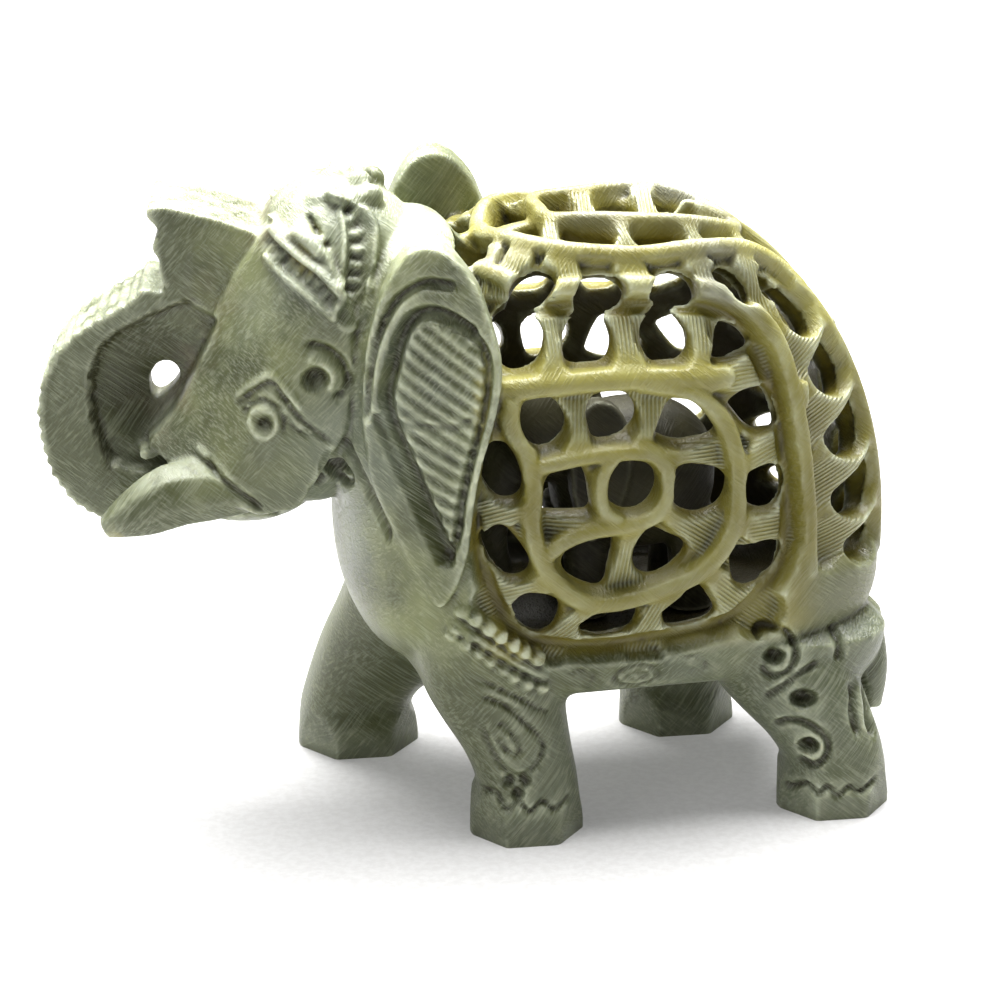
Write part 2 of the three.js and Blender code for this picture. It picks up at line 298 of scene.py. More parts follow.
def plate(outline, near, far, count=120, smooth=True):
    """A flat plate with an outline in XZ, from y = near to y = far."""
    line = through([(x, 0, z) for x, z in outline], count + 1, smooth)[:-1]
    deselect()
    bpy.ops.mesh.primitive_cylinder_add(vertices=count, radius=1, depth=2, end_fill_type="NGON")
    piece = bpy.context.object
    place = places(piece)
    index = np.rint(np.arctan2(place[:, 0], place[:, 1]) / (2 * math.pi) * count).astype(int) % count
    put(piece, np.column_stack([line[index, 0], np.where(place[:, 2] > 0, near, far), line[index, 2]]))
    face_outward(piece)
    return piece


# ---------------------------------------------------------------- the head's own frame
HEAD_TURN = math.radians(12)
NECK_X = -4.0


def to_head(points):
    x, y = points[:, 0] - NECK_X, points[:, 1]
    c, s = math.cos(HEAD_TURN), math.sin(HEAD_TURN)
    return np.column_stack([x * c - y * s + NECK_X, x * s + y * c, points[:, 2]])


def from_head(points):
    x, y = points[:, 0] - NECK_X, points[:, 1]
    c, s = math.cos(HEAD_TURN), math.sin(HEAD_TURN)
    return np.column_stack([x * c + y * s + NECK_X, -x * s + y * c, points[:, 2]])


# ---------------------------------------------------------------- solid parts of the elephant
def leg(hip, foot, size):
    knee = [hip[i] + (foot[i] - hip[i]) * share for i, share in ((0, 0.72), (1, 0.78))]
    return limb(
        [
            (foot[0], foot[1], -2, size * 1.06, size * 1.06),
            (foot[0], foot[1], 0, size * 1.1, size * 1.1),
            (foot[0], foot[1], 3.5, size * 1.06, size * 1.06),
            (foot[0] + 0.2, foot[1], 6.5, size * 0.92, size * 0.95),
            (knee[0], knee[1], 12, size * 0.95, size * 1.02),
            (hip[0], hip[1], 22, size * 1.12, size * 1.4),
            (hip[0], hip[1] * 0.9, 31, size * 0.95, size * 1.25),
        ],
        sides=28,
        power=2.6,
    )


def base_form():
    """The body's pierced shell, with the chest, shoulders, belly slab, haunches and legs."""
    parts = [
        body_lump(),
        lump((18, 0, 24), (27, 27, 19.4, 7.6, 7.4), 5),
        lump((-4, 0, 38), (10, 12, 17.8, 19, 19), 2.6),
        lump((-6, 0, 55), (7.5, 12, 16, 20.5, 21.5), 2.6),
        leg((0.5, -12), (4.2, -15.5), 6.5),
        leg((36.5, -12), (43.6, -16.5), 6.5),
        leg((-3, 11.5), (-11, 16), 7.2),
        leg((33, 10), (31.5, 13.5), 7.0),
        lump((0, -12, 24), (9, 8.5, 7.6, 9, 9), 2.3),
        lump((0, 12, 24), (9, 8.5, 7.6, 9, 9), 2.3),
        lump((40.5, -11, 23), (11, 9, 9, 11, 10), 2.3),
        lump((38, 11, 23), (12, 9, 9, 11, 10), 2.3),
    ]
    base = fuse(join(parts, "base"), 0.6)
    soften(base, 5)
    room = body_lump(WALL)
    floor = plate([(-40, HOLLOW_FLOOR), (90, HOLLOW_FLOOR), (90, 120), (-40, 120)], -60, 60, 8, smooth=False)
    apply_modifier(room, "BOOLEAN", operation="INTERSECT", object=floor, solver="MANIFOLD")
    bpy.data.objects.remove(floor)
    cut(base, room)
    pierce(base)
    return base


HEAD = [
    (-13.5, 0, 79.4, 2.6, 2.2),
    (-13.8, 0, 78.4, 6.2, 5.2),
    (-14.4, 0, 75.5, 10.0, 8.6),
    (-15.4, 0, 70, 12.4, 10.8),
    (-17.2, 0, 63, 13.8, 12.2),
    (-20.2, 0, 55.5, 13.9, 13.2),
    (-24, 0, 48, 11.6, 12.6),
    (-26.6, 0, 42.4, 8.6, 10.2),
    (-27.0, 0, 38.6, 6.2, 7.4),
    (-27.0, 0, 36.8, 3.8, 4.6),
]
# The trunk, a flat slab sawn to its outline: up from the mouth, round the curl, and out to its raised tip.
TRUNK_OUTLINE = [
    (-33, 40.5), (-40.5, 38.4), (-44.7, 38.2), (-48.2, 40.6), (-50.3, 44), (-51.5, 48), (-51.8, 52),
        (-51.1, 56),
    (-49.4, 59.4), (-46.8, 62), (-43.6, 64), (-40.4, 65.8), (-38.4, 67.6), (-35.6, 66.9), (-36.6, 69.4),
        (-36.4, 71.0),
    (-37.4, 72.4), (-36.4, 74.8), (-38.0, 76.6), (-37.6, 77.8), (-34.8, 77.6), (-29.6, 76.2), (-25.0, 74.6),
    (-20, 70), (-20, 50), (-26, 42), (-33, 40.5),
]
# The edge where the flat of the cheek ends, standing proud of the trunk.
CHEEK_EDGE = [
    (-23.6, 75.4), (-27.4, 69.9), (-30.3, 64.3), (-32.6, 59.4), (-34.8, 54.9), (-37.0, 51.6), (-39.4, 49.2),
]
CHEEK_OUTLINE = CHEEK_EDGE + [(-35.4, 46.4), (-30, 43.4), (-25, 41), (-20, 42), (-14, 52), (-13, 66),
    (-17, 76)]
EAR_OUTLINE = [
    (-12.3, 54.5), (-11.9, 61), (-10.9, 66.2), (-9.2, 71), (-6.8, 74.8), (-4.2, 76.0), (-1.9, 75.2),
        (-0.1, 73.5),
    (1.6, 71.1), (2.8, 67.7), (3.9, 64.1), (4.3, 61.0), (3.7, 56.7), (2.8, 53.0), (1.8, 49.3), (1.1, 45.5),
    (0.6, 41.5), (0.1, 37.7), (-1.4, 33.2), (-3.4, 30.8), (-5.6, 34.6), (-8.2, 39.6), (-11.2, 46.5),
        (-12.3, 54.5),
]


def toothed(outline, count, pitch, deep, where):
    """The outline with saw teeth along part of it."""
    line = through([(x, 0, z) for x, z in outline], count, smooth=False)
    edge = unit(np.column_stack([np.gradient(line[:, 2]), -np.gradient(line[:, 0])]))
    run = np.r_[0, np.cumsum(np.linalg.norm(np.diff(line, axis=0), axis=1))]
    tooth = np.where(where(line), deep * (np.abs((run / pitch) % 1 - 0.5) * 2 - 0.5), 0)
    sawn = [(line[i, 0] + edge[i, 0] * tooth[i],
        line[i, 2] + edge[i, 1] * tooth[i]) for i in range(count - 1)]
    return sawn + [sawn[0]]


def cheek(side):
    """The flat wedge of the face, from its crisp front edge back into the round of the head."""
    piece = fuse(plate(CHEEK_OUTLINE, 0, -9, 160, smooth=False), 0.45)
    place = places(piece)
    edge = through([(x, 0, z) for x, z in CHEEK_EDGE], 60)
    flat = np.column_stack([place[:, 0], np.zeros(len(place)), place[:, 2]])
    behind, _share = off_line(flat, edge[:, :3])
    out = 7.7 + np.minimum(behind * 0.56, 5.6) + 0.25 * np.sqrt(np.minimum(behind, 4))
    share = np.clip(place[:, 1] / -9, 0, 1)
    y = out * (1 - share) + 2 * share
    put(piece, np.column_stack([place[:, 0], side * y, place[:, 2]]))
    return piece


def head_forms():
    head = limb(HEAD, 40, 1.0, 2.1)
    sawn = toothed(
        TRUNK_OUTLINE, 420, 1.62, 0.95,
        lambda line: (line[:, 0] < -38.4)
        & (line[:, 2] < 67.5)
        & (line[:, 2] > 38.6)
        & ~((line[:, 0] > -40) & (line[:, 2] < 60)),
    )
    trunk = plate(sawn, -6.6, 6.6, 419, smooth=False)
    curl = lump((-38.6, 0, 47.2), (5.4, 4.6, 8.6, 2.6, 3.0), 2.2)
    tusks = []
    for side in (-1, 1):
        tusks.append(
            limb(
                [
                    (-25.0, side * 8.6, 44.2, 3.4, 3.8),
                    (-29.8, side * 11.0, 43.8, 3.6, 3.9),
                    (-34.6, side * 12.2, 43.6, 3.6, 4.15),
                    (-38.6, side * 12.9, 41.9, 3.0, 3.6),
                    (-41.8, side * 13.4, 40.5, 2.3, 2.3),
                    (-43.7, side * 13.6, 39.6, 1.2, 1.3),
                ],
                7,
                1.6,
                2.0,
            )
        )
    lip = lump((-26.4, 0, 38.6), (5, 4.4, 5.2, 2.0, 2.4), 2)
    crest = [
        lump((x, y, z), (1.7, 1.7, 1.6, 1.5, 2.4), 2, 16, 10)
        for x, y, z in (
            (-19.6, -4.6, 77.0), (-17.4, -5.4, 77.9), (-15.2, -5.8, 78.2), (-13, -5.4, 78.2),
                (-11.2, -4.2, 78.4),
            (-19.4, 4.6, 77.0), (-17.4, 5.4, 77.9), (-15.2, 5.8, 78.2), (-13, 5.4, 78.2), (-11.2, 4.2, 78.4),
            (-18.6, -1.6, 78.4), (-18.6, 1.6, 78.4), (-16.0, 0, 79.4), (-12.6, -1.6, 79.4),
                (-12.6, 1.6, 79.4),
        )
    ]
    return [head, trunk, curl, lip, *tusks, *crest, cheek(-1), cheek(1)]


def curl_piercing():
    """The small hole through the middle of the trunk's curl."""
    outline = [(-38.5, 55.2), (-37.3, 56.9), (-35.6, 57.0), (-34.7, 55.6), (-35.6, 53.8), (-37.4, 52.4),
        (-38.4, 53.2), (-38.5, 55.2)]
    return plate(outline, -20, 20, 24)


RIGHT_EAR_RISE = 3.4  # the right ear stands a little higher


def ear(side):
    piece = fuse(plate(EAR_OUTLINE, 0, -9, 140), 0.5)
    place = places(piece)
    if side > 0:
        place[:, 2] += RIGHT_EAR_RISE * ramp(place[:, 2], 52, 76)
    # The leaf of the ear swings out to the rear, and its face is hollowed a little.
    out = 16.2 + (place[:, 0] + 12) * 0.27 + 0.9 * np.sin(np.clip((place[:, 2] - 30) / 48, 0, 1) * math.pi)
    inner = np.minimum(9.5 + (place[:, 0] + 12) * 0.36, out - 2.6)
    # Where it stands free of the neck the ear is a thinner slab.
    free = ramp(place[:, 0], -4, 1.5)
    inner = inner + (out - 4.4 - inner) * free
    share = np.clip(place[:, 1] / -9, 0, 1)
    y = out * (1 - share) + inner * share
    put(piece, np.column_stack([place[:, 0], side * y, place[:, 2]]))
    return piece


def tail():
    return limb(
        [
            (45.6, 0, 58, 2.2, 1.6),
            (49.4, -0.8, 46, 2.0, 1.7),
            (50.8, -3.5, 32, 2.0, 1.8),
            (50.0, -8, 22.5, 2.5, 2.2),
            (50.0, -11, 15.5, 3.0, 2.4),
            (50.4, -12, 10, 1.2, 1.2),
        ],
        16,
    )


# ---------------------------------------------------------------- the pierced shell
# Flank places are x and z, back places are x and y, and rump places are y and z, all on the body's skin.
# Each list is of the left side; the right side is its mirror image.
def flank_point(place, side):
    return skin(x=place[0], z=place[1], side=side)


def back_point(place, side):
    return skin(x=place[0], y=-side * place[1], side=1)


def rump_point(place, side):
    return skin(y=-side * place[0], z=place[1], side=1)


VINE = 1.3  # half the width of a vine
# Vines: where they run, then half their width.
FLANK_VINES = [
    # the frame of the flank, down to the haunch
    ([(-3, 69.4), (4, 69.7), (12, 69.5), (20, 69.1), (26, 68.3), (30, 66.8), (32.6, 64.9), (34.8, 62.1),
        (36.2, 58.7),
      (37.3, 54), (38.2, 48.6), (38.8, 43), (39.2, 37.5), (39.4, 32)], 1.25),
    # the band across the top of the round vine
    ([(-3, 57.6), (1.8, 57.9), (7, 58.3), (13, 58.5), (19, 58.3), (24, 57.9), (28, 57.8)], 1.55),
    # the round vine
    ([(1.8, 57.4), (1.6, 53.6), (3.4, 50.2), (4.1, 46), (3.9, 41), (5.1, 36.6), (7.2, 33.4), (10, 31.2),
        (13.2, 30.6),
      (16.8, 31), (20.2, 31.9), (24.0, 33.2), (26.9, 35.4), (28.8, 38.4), (29.6, 42.2), (29.5, 46.4),
          (28.9, 49.6),
      (27.6, 52.6), (25.4, 55), (22.4, 56.8), (18, 57.8)], VINE),
    # the tendril that leaves the round vine and curls round the hub
    ([(4.3, 48.4), (7, 48.9), (9.8, 49.3), (13, 49.6), (16.8, 49.5), (19.3, 48.7), (20.6, 46.6), (20.5, 44),
        (19.6, 41.9),
      (17.6, 40.8), (15, 40.3), (11.5, 40.1), (8.2, 39.2), (5.6, 37.4)], 1.15),
    ([(14, 49.2), (12.7, 47.2), (12.3, 44.6), (12.9, 42.3), (14.6, 40.9)], 1.0),
]
# Leaves: foot, tip, half width at foot and tip, and how far the tip dips under the next vine.
FLANK_LEAVES = [
    ((7.2, 59.4), (6.6, 67.4), 1.7, 2.6, 1.5),
    ((16.2, 59.2), (16.2, 67.2), 1.8, 2.4, 1.6),
    ((25.0, 58.8), (25.6, 67), 1.8, 2.8, 1.5),
    ((26, 57.8), (35.2, 58.4), 1.5, 2.8, 1.6),
    ((29.8, 46.4), (37.2, 48.2), 1.4, 2.7, 1.6),
    ((29.6, 38.6), (37.6, 38), 1.5, 2.3, 1.6),
    ((25.6, 33.4), (32.8, 27.2), 1.3, 2.8, 1.6),
    ((21.4, 31.8), (18.2, 24.0), 1.3, 2.3, 1.4),
    ((11.6, 30), (7.0, 25.0), 1.3, 2.0, 1.4),
    ((6.0, 34), (-0.9, 31.6), 1.2, 2.0, 1.3),
    ((4.0, 44), (-3.0, 41.6), 1.3, 2.0, 1.2),
    ((9.4, 49.4), (10.2, 57.6), 1.3, 2.4, 1.6),
    ((18.2, 49.4), (18.8, 57.4), 1.4, 2.4, 1.5),
    ((21.0, 48.2), (29, 48.0), 1.4, 2.3, 1.5),
    ((20.4, 42.4), (28.6, 36.6), 1.4, 2.7, 1.6),
    ((16.2, 40.6), (15.2, 30.8), 1.3, 2.4, 1.6),
    ((12.6, 40.6), (4.4, 41.0), 1.0, 2.0, 1.5),
]
# The ditch between the leaves' tips and the frame.
DITCH = [
    (-3.4, 42), (-1.6, 34), (0.6, 29.4), (4.6, 25.6), (10, 24.3), (15, 24.1), (20, 24.6), (25, 25.2),
        (29.6, 26.4),
    (33.2, 29.2), (35.8, 33.2), (37.0, 38), (36.8, 44), (36.1, 50), (34.9, 55.2), (33, 60), (30.6, 63.6),
    (27.4, 65.9), (22, 66.7), (14, 67.1), (7, 67.3), (-1, 67.2),
]
FLANK_PIERCINGS = [
    [(0.0, 62.5), (1.4, 60.4), (3.5, 60.2), (4.9, 61), (5.7, 63), (5.7, 64.8), (4.8, 66.2), (3, 66.8),
        (1, 66.6), (0, 65)],
    [(8.7, 62.2), (9.2, 60.6), (11.5, 60.2), (13.6, 60.6), (14.3, 62.6), (13.9, 65), (12.4, 66.3),
        (10.4, 66.2), (9.1, 64.6)],
    [(18.3, 62), (18.5, 64.6), (20, 65.8), (22, 65.4), (23.4, 63.9), (23.7, 62), (23.2, 60.4), (21.6, 59.7),
        (19.4, 60)],
    [(27.1, 59.7), (27.6, 61.6), (28.0, 63.6), (29.2, 64), (30.8, 63.2), (32, 61.8), (31.8, 60.8),
        (30.4, 60.2), (28.8, 59.6)],
    [(29, 54.2), (30.5, 55.2), (32.4, 55.6), (34, 55.2), (35, 52.6), (35.2, 50.8), (33.6, 50.4),
        (31.8, 50.7), (30.4, 52.2)],
    [(30.6, 44.8), (32.6, 45.4), (34.8, 45.8), (35.9, 44.5), (36, 42.6), (35.2, 40.9), (33.6, 40.4),
        (31.8, 41), (30.8, 42.6)],
    [(29.6, 35.8), (31.4, 35.6), (33.6, 35.9), (35.5, 35.7), (35.6, 34), (34.2, 31.8), (32.2, 30.6),
        (30.4, 31), (29.6, 33)],
    [(20.8, 28.2), (22.8, 29.8), (24.7, 31.4), (26, 30), (27.1, 27.8), (26.2, 26.6), (23.6, 26.1),
        (21.4, 26.3)],
    [(10.4, 27.4), (12.6, 28.8), (15.2, 29.4), (17.1, 29.2), (17.1, 27.2), (15.8, 25.9), (12.6, 25.6),
        (10.8, 26.2)],
    [(1.8, 30.6), (3.2, 31.7), (5.2, 31.6), (7.2, 30.8), (7.4, 29), (6.4, 27.2), (4.8, 26.8), (3, 28)],
    [(-2, 39.2), (-0.8, 40.6), (0.8, 40.5), (2.4, 38.6), (3.7, 36.2), (3.4, 34.9), (1.9, 34.3), (0.4, 34.8),
        (-1.0, 36.4)],
    [(0.6, 51.2), (1.8, 49.6), (2.7, 47), (2.6, 45), (1.3, 44.3), (-0.4, 44.7), (-1.8, 46.5), (-2.6, 48.8),
        (-1.6, 50.8)],
    [(4.6, 56.6), (6.4, 56.5), (7.8, 55), (8.4, 53), (7.7, 51.4), (6.3, 50.4), (4.9, 50.6), (3.6, 52),
        (2.9, 54), (3.4, 55.8)],
    [(12, 56.2), (14, 56.8), (16, 56.2), (17, 54.4), (16.9, 52.6), (15.3, 51.3), (13.4, 50.9), (12.1, 51.2),
        (11.5, 53), (11.3, 54.8)],
    [(19.7, 51), (20.6, 53.4), (21.6, 55.2), (23.2, 55.3), (24.9, 54), (26.6, 51.6), (26.8, 50.6),
        (25, 50.2), (22.4, 50)],
    [(9.9, 48.1), (8.2, 47.8), (6.6, 47), (5.6, 45), (5.6, 42.8), (7.6, 42.4), (10, 42.3), (11.3, 42.4),
        (11.1, 44), (10.8, 46.2)],
    [(21.8, 46.4), (23.5, 46.9), (26, 46.5), (27.9, 45.6), (28.2, 43.6), (27.2, 41.6), (25, 40.9),
        (22.9, 41.5), (21.8, 43.2), (21.6, 44.8)],
    [(19, 39.5), (20.8, 38.4), (22.7, 37.4), (23.2, 36.2), (22.3, 34.9), (20.4, 33.6), (18.6, 33.4),
        (17.3, 34.4), (17, 36.2), (17.8, 38.2)],
    [(14, 39), (12, 38.8), (9.8, 38), (8.2, 36.6), (8.2, 35.2), (9.6, 33.7), (12, 32.5), (13.2, 32.8),
        (13.6, 34.8), (14.1, 37)],
    [(16.5 + 3.1 * math.cos(turn), 45 + 3.1 * math.sin(turn)) for turn in np.linspace(0, 5.7, 10)],
]

BACK_VINES = [
    # from the spine at the neck, along the rounded edge and down to the rump
    ([(1.5, 0), (2.4, -3.4), (4.2, -7.6), (6.6, -10.6), (10.4, -12.4), (14.4, -13.1), (19, -13.5),
        (24.6, -13.1),
      (29, -12), (33, -10.2), (37, -8.8), (40.5, -8.6)], VINE),
    # the oval on the spine
    ([(9.4, 0), (9.3, -3), (10.4, -5.0), (13.4, -5.6), (17.2, -6.6), (21, -7.6), (25.4, -8), (29.6, -7),
        (33, -4.4), (34.4, 0)],
     1.1),
    ([(-4, 0), (2, 0)], 1.2),
]
BACK_LEAVES = [
    ((1.4, -7.6), (-2.6, -12.6), 1.4, 2.0, 1.2),
    ((5.4, -9.6), (0.4, -15.6), 1.5, 2.4, 1.3),
    ((8.8, -11.6), (9.4, -17.6), 1.6, 2.6, 1.4),
    ((17, -13.4), (18.4, -18), 1.6, 2.6, 1.4),
    ((25.6, -13), (27.2, -17.6), 1.6, 2.6, 1.4),
    ((32.2, -10.8), (33.8, -15), 1.5, 2.3, 1.3),
    ((9.2, -3.6), (8.4, -11.2), 1.3, 2.1, 1.4),
    ((16.6, -6.6), (18.2, -13), 1.4, 2.2, 1.4),
    ((25.2, -8), (27.2, -12.4), 1.3, 2.1, 1.3),
    ((32, -5.4), (34.6, -9.8), 1.3, 2.1, 1.3),
    ((16.4, -6.4), (15.2, -0.2), 1.3, 2.1, 1.3),
    ((24.6, -7.8), (23.4, -0.2), 1.3, 2.1, 1.3),
    ((32.4, -5), (30.6, -0.2), 1.2, 1.8, 1.2),
]
BACK_PIERCINGS = [
    [(1.8, -14.9), (3.4, -13.8), (5.6, -13.6), (7.4, -14.4), (7.8, -15.1), (6.4, -16), (4.4, -16.1),
        (2.6, -15.7)],
    [(10.4, -16.0), (11.4, -15.2), (13.6, -15), (15.7, -15.4), (16.4, -16.2), (15.2, -16.9), (12.6, -17),
        (10.8, -16.7)],
    [(19.6, -16.1), (20.8, -15.3), (22.8, -15.1), (24.6, -15.5), (25.1, -16.3), (24.4, -16.9), (21.6, -17),
        (20, -16.7)],
    [(28.2, -14.6), (29.6, -14.0), (31.4, -14.2), (32.5, -15), (32.2, -15.9), (30.4, -16.1), (29, -15.6)],
    [(34.8, -12.6), (35.6, -11.8), (36.9, -12), (37.2, -13.0), (36.2, -13.9), (35.2, -13.6)],
    [(-2.6, -1.6), (-2.5, -5.5), (-2.0, -8.6), (-0.6, -8.4), (0.6, -6.4), (0.6, -3.6), (-0.4, -1.6)],
    [(3.6, -2.2), (5.5, -1.6), (7.7, -1.6), (7.9, -4.4), (7.2, -7.4), (6.6, -8.9), (5.6, -7.8), (4.6, -5.2)],
    [(10.8, -6.6), (13, -7), (15.8, -8.2), (16.3, -9.6), (15.4, -11.2), (13, -11), (11, -10.6), (10.4, -8.8)],
    [(19, -9.2), (21, -9.3), (23.6, -9.6), (25.2, -10.8), (24, -11.6), (20.8, -11.7), (19.4, -10.9)],
    [(28, -9.4), (30, -8.9), (32, -7.8), (32.4, -8.6), (31, -9.8), (29, -10.4)],
    [(10.9, -0.4), (10.8, -3.4), (13, -4.2), (14.2, -3.0), (13.6, -0.4)],
    [(17.4, -0.8), (18, -4.6), (20.4, -5.6), (22, -4.2), (21.6, -0.8)],
    [(25.4, -0.8), (26, -5.2), (28.6, -5.6), (30, -3.6), (29, -0.8)],
]
RUMP_VINES = [
    ([(-8.6, 69.6), (-9.4, 62), (-10.0, 54), (-10.2, 46), (-10, 38), (-9.6, 31)], 1.2),
    ([(0, 74.4), (0, 66), (0, 56), (0, 46), (0, 34)], 1.3),
]
RUMP_LEAVES = [
    ((-10, 62.4), (-16.4, 58.8), 1.3, 2.4, 1.4),
    ((-10.2, 54.6), (-17.6, 50.4), 1.3, 2.4, 1.4),
    ((-10.4, 46.6), (-18.2, 42.2), 1.3, 2.4, 1.4),
    ((-10.2, 38.6), (-18.4, 34.6), 1.3, 2.4, 1.4),
    ((-9.2, 66), (-1, 61.6), 1.2, 2.3, 1.3),
    ((-9.8, 57.6), (-1, 53), 1.2, 2.3, 1.3),
    ((-10.2, 49), (-1, 44.4), 1.2, 2.3, 1.3),
    ((-10, 40.6), (-1, 36.4), 1.2, 2.3, 1.3),
]
RUMP_PIERCINGS = [
    [(-11.2, 67), (-11.3, 63.6), (-13, 61.4), (-14.6, 61.8), (-14.6, 64.2), (-13, 66.6)],
    [(-11.6, 60.2), (-11.7, 56), (-13.6, 53.6), (-15.6, 54), (-16, 56.4), (-14.6, 58.4)],
    [(-11.8, 52.2), (-12, 48), (-14, 45.4), (-16.4, 45.8), (-17, 48.2), (-15.2, 50.2)],
    [(-12, 44.2), (-12.2, 40), (-14.2, 37.4), (-16.8, 38), (-17.4, 40.4), (-15.2, 42.4)],
    [(-12, 36.2), (-12.2, 33.4), (-14, 31.8), (-16.2, 32.2), (-16.6, 33.6), (-14.6, 35)],
    [(-7.8, 64), (-8.2, 59.6), (-5.6, 57), (-2.6, 56.4), (-2.2, 59), (-4, 61.6)],
    [(-8.2, 55.6), (-8.6, 51.2), (-6, 48.4), (-2.6, 47.6), (-2.2, 50.2), (-4.2, 53)],
    [(-8.4, 47), (-8.8, 42.8), (-6.2, 40), (-2.6, 39.4), (-2.2, 41.8), (-4.2, 44.6)],
    [(-8.2, 38.6), (-8.4, 35.4), (-6.2, 33), (-2.8, 32.6), (-2.4, 34), (-4.4, 36.4)],
]


def on_skin(place_of, line, side, step=0.6):
    """A line drawn on the body: its points a step apart."""
    points = np.array([place_of(place, side) for place in line])
    length = np.linalg.norm(np.diff(points, axis=0), axis=1).sum()
    return onto_skin(through(points, max(int(length / step), 4)))


def rim_of(place_of, outline, side):
    rim = np.array([place_of(place, side) for place in outline])
    return through(np.vstack([rim, rim[:1]]), PIERCING_SIDES + 1)


def piercing(rim):
    """A hole with a smooth rim on the skin, sunk square to it."""
    rim = rim[:-1]
    middle = rim.mean(axis=0)
    square = skin_normals(onto_skin(middle[None, :]))[0]
    if np.cross(rim[1] - rim[0], rim[2] - rim[1]) @ square < 0:
        rim = rim[::-1]
    deselect()
    bpy.ops.mesh.primitive_cylinder_add(vertices=PIERCING_SIDES, radius=1, depth=2, end_fill_type="TRIFAN")
    tool = bpy.context.object
    place = places(tool)
    turn = np.arctan2(place[:, 0], place[:, 1]) / (2 * math.pi) * PIERCING_SIDES
    turn = np.rint(turn).astype(int) % PIERCING_SIDES
    hub = np.hypot(place[:, 0], place[:, 1]) < 0.01
    ring = np.where(hub[:, None], middle, rim[turn])
    ring = middle + (ring - middle) * 1.07
    put(tool, ring + square * np.where(place[:, 2] > 0, 3, -6.5)[:, None])
    return tool


PANELS = (
    (flank_point, FLANK_VINES, FLANK_LEAVES, FLANK_PIERCINGS),
    (back_point, BACK_VINES, BACK_LEAVES, BACK_PIERCINGS),
    (rump_point, RUMP_VINES, RUMP_LEAVES, RUMP_PIERCINGS),
)


def pierce(piece):
    for place_of, _vines, _leaves, outlines in PANELS:
        for side in (-1, 1):
            tools = join([piercing(rim_of(place_of, outline, side)) for outline in outlines], "piercings")
            face_outward(tools)
            cut(piece, tools)


def lattice_lines():
    vines, leaves, rims = [], [], []
    for place_of, vine_list, leaf_list, outlines in PANELS:
        for side in (-1, 1):
            for line, half in vine_list:
                vines.append((on_skin(place_of, line, side), half))
            for foot, tip, foot_half, tip_half, dip in leaf_list:
                leaves.append((on_skin(place_of, [foot, tip], side), foot_half, tip_half, dip))
            rims += [rim_of(place_of, outline, side) for outline in outlines]
    ditches = [on_skin(flank_point, DITCH, side) for side in (-1, 1)]
    return vines, leaves, ditches, rims


def off_line(points, line):
    """Distance from points to a line, and how far along it as a share."""
    length = np.r_[0, np.cumsum(np.linalg.norm(np.diff(line, axis=0), axis=1))]
    best = np.full(len(points), 1e9)
    share = np.zeros(len(points))
    for start, end, run in zip(line, line[1:], length):
        step = end - start
        size = max(float(np.linalg.norm(step)), 1e-9)
        t = np.clip((points - start) @ step / size**2, 0, 1)
        gap = np.linalg.norm(points - start - t[:, None] * step, axis=1)
        closer = gap < best
        best = np.where(closer, gap, best)
        share = np.where(closer, (run + t * size) / length[-1], share)
    return best, share


def near(points, line, reach):
    low, high = line.min(axis=0) - reach, line.max(axis=0) + reach
    return np.flatnonzero(np.all((points > low) & (points < high), axis=1))


def lattice_ground(skin_at):
    """How low the stone lies between the vines and the leaves, inside each pierced panel."""
    edge = [(PANEL_FRONT, 67.2), (PANEL_FRONT, 42), *DITCH[1:]]
    x, z = skin_at[:, 0], skin_at[:, 2]
    inside = within_outline(skin_at[:, [0, 2]], edge)
    aside = np.abs(skin_at[:, 1])
    back = (z > 68.4) & (aside < 17.6) & (x > PANEL_FRONT)
    rump = ((x > 39.2) | (x > 34) & (z > 56)) * ramp(z, 30.5, 35)
    return GROUND_DEPTH * np.maximum(inside | back, rump)


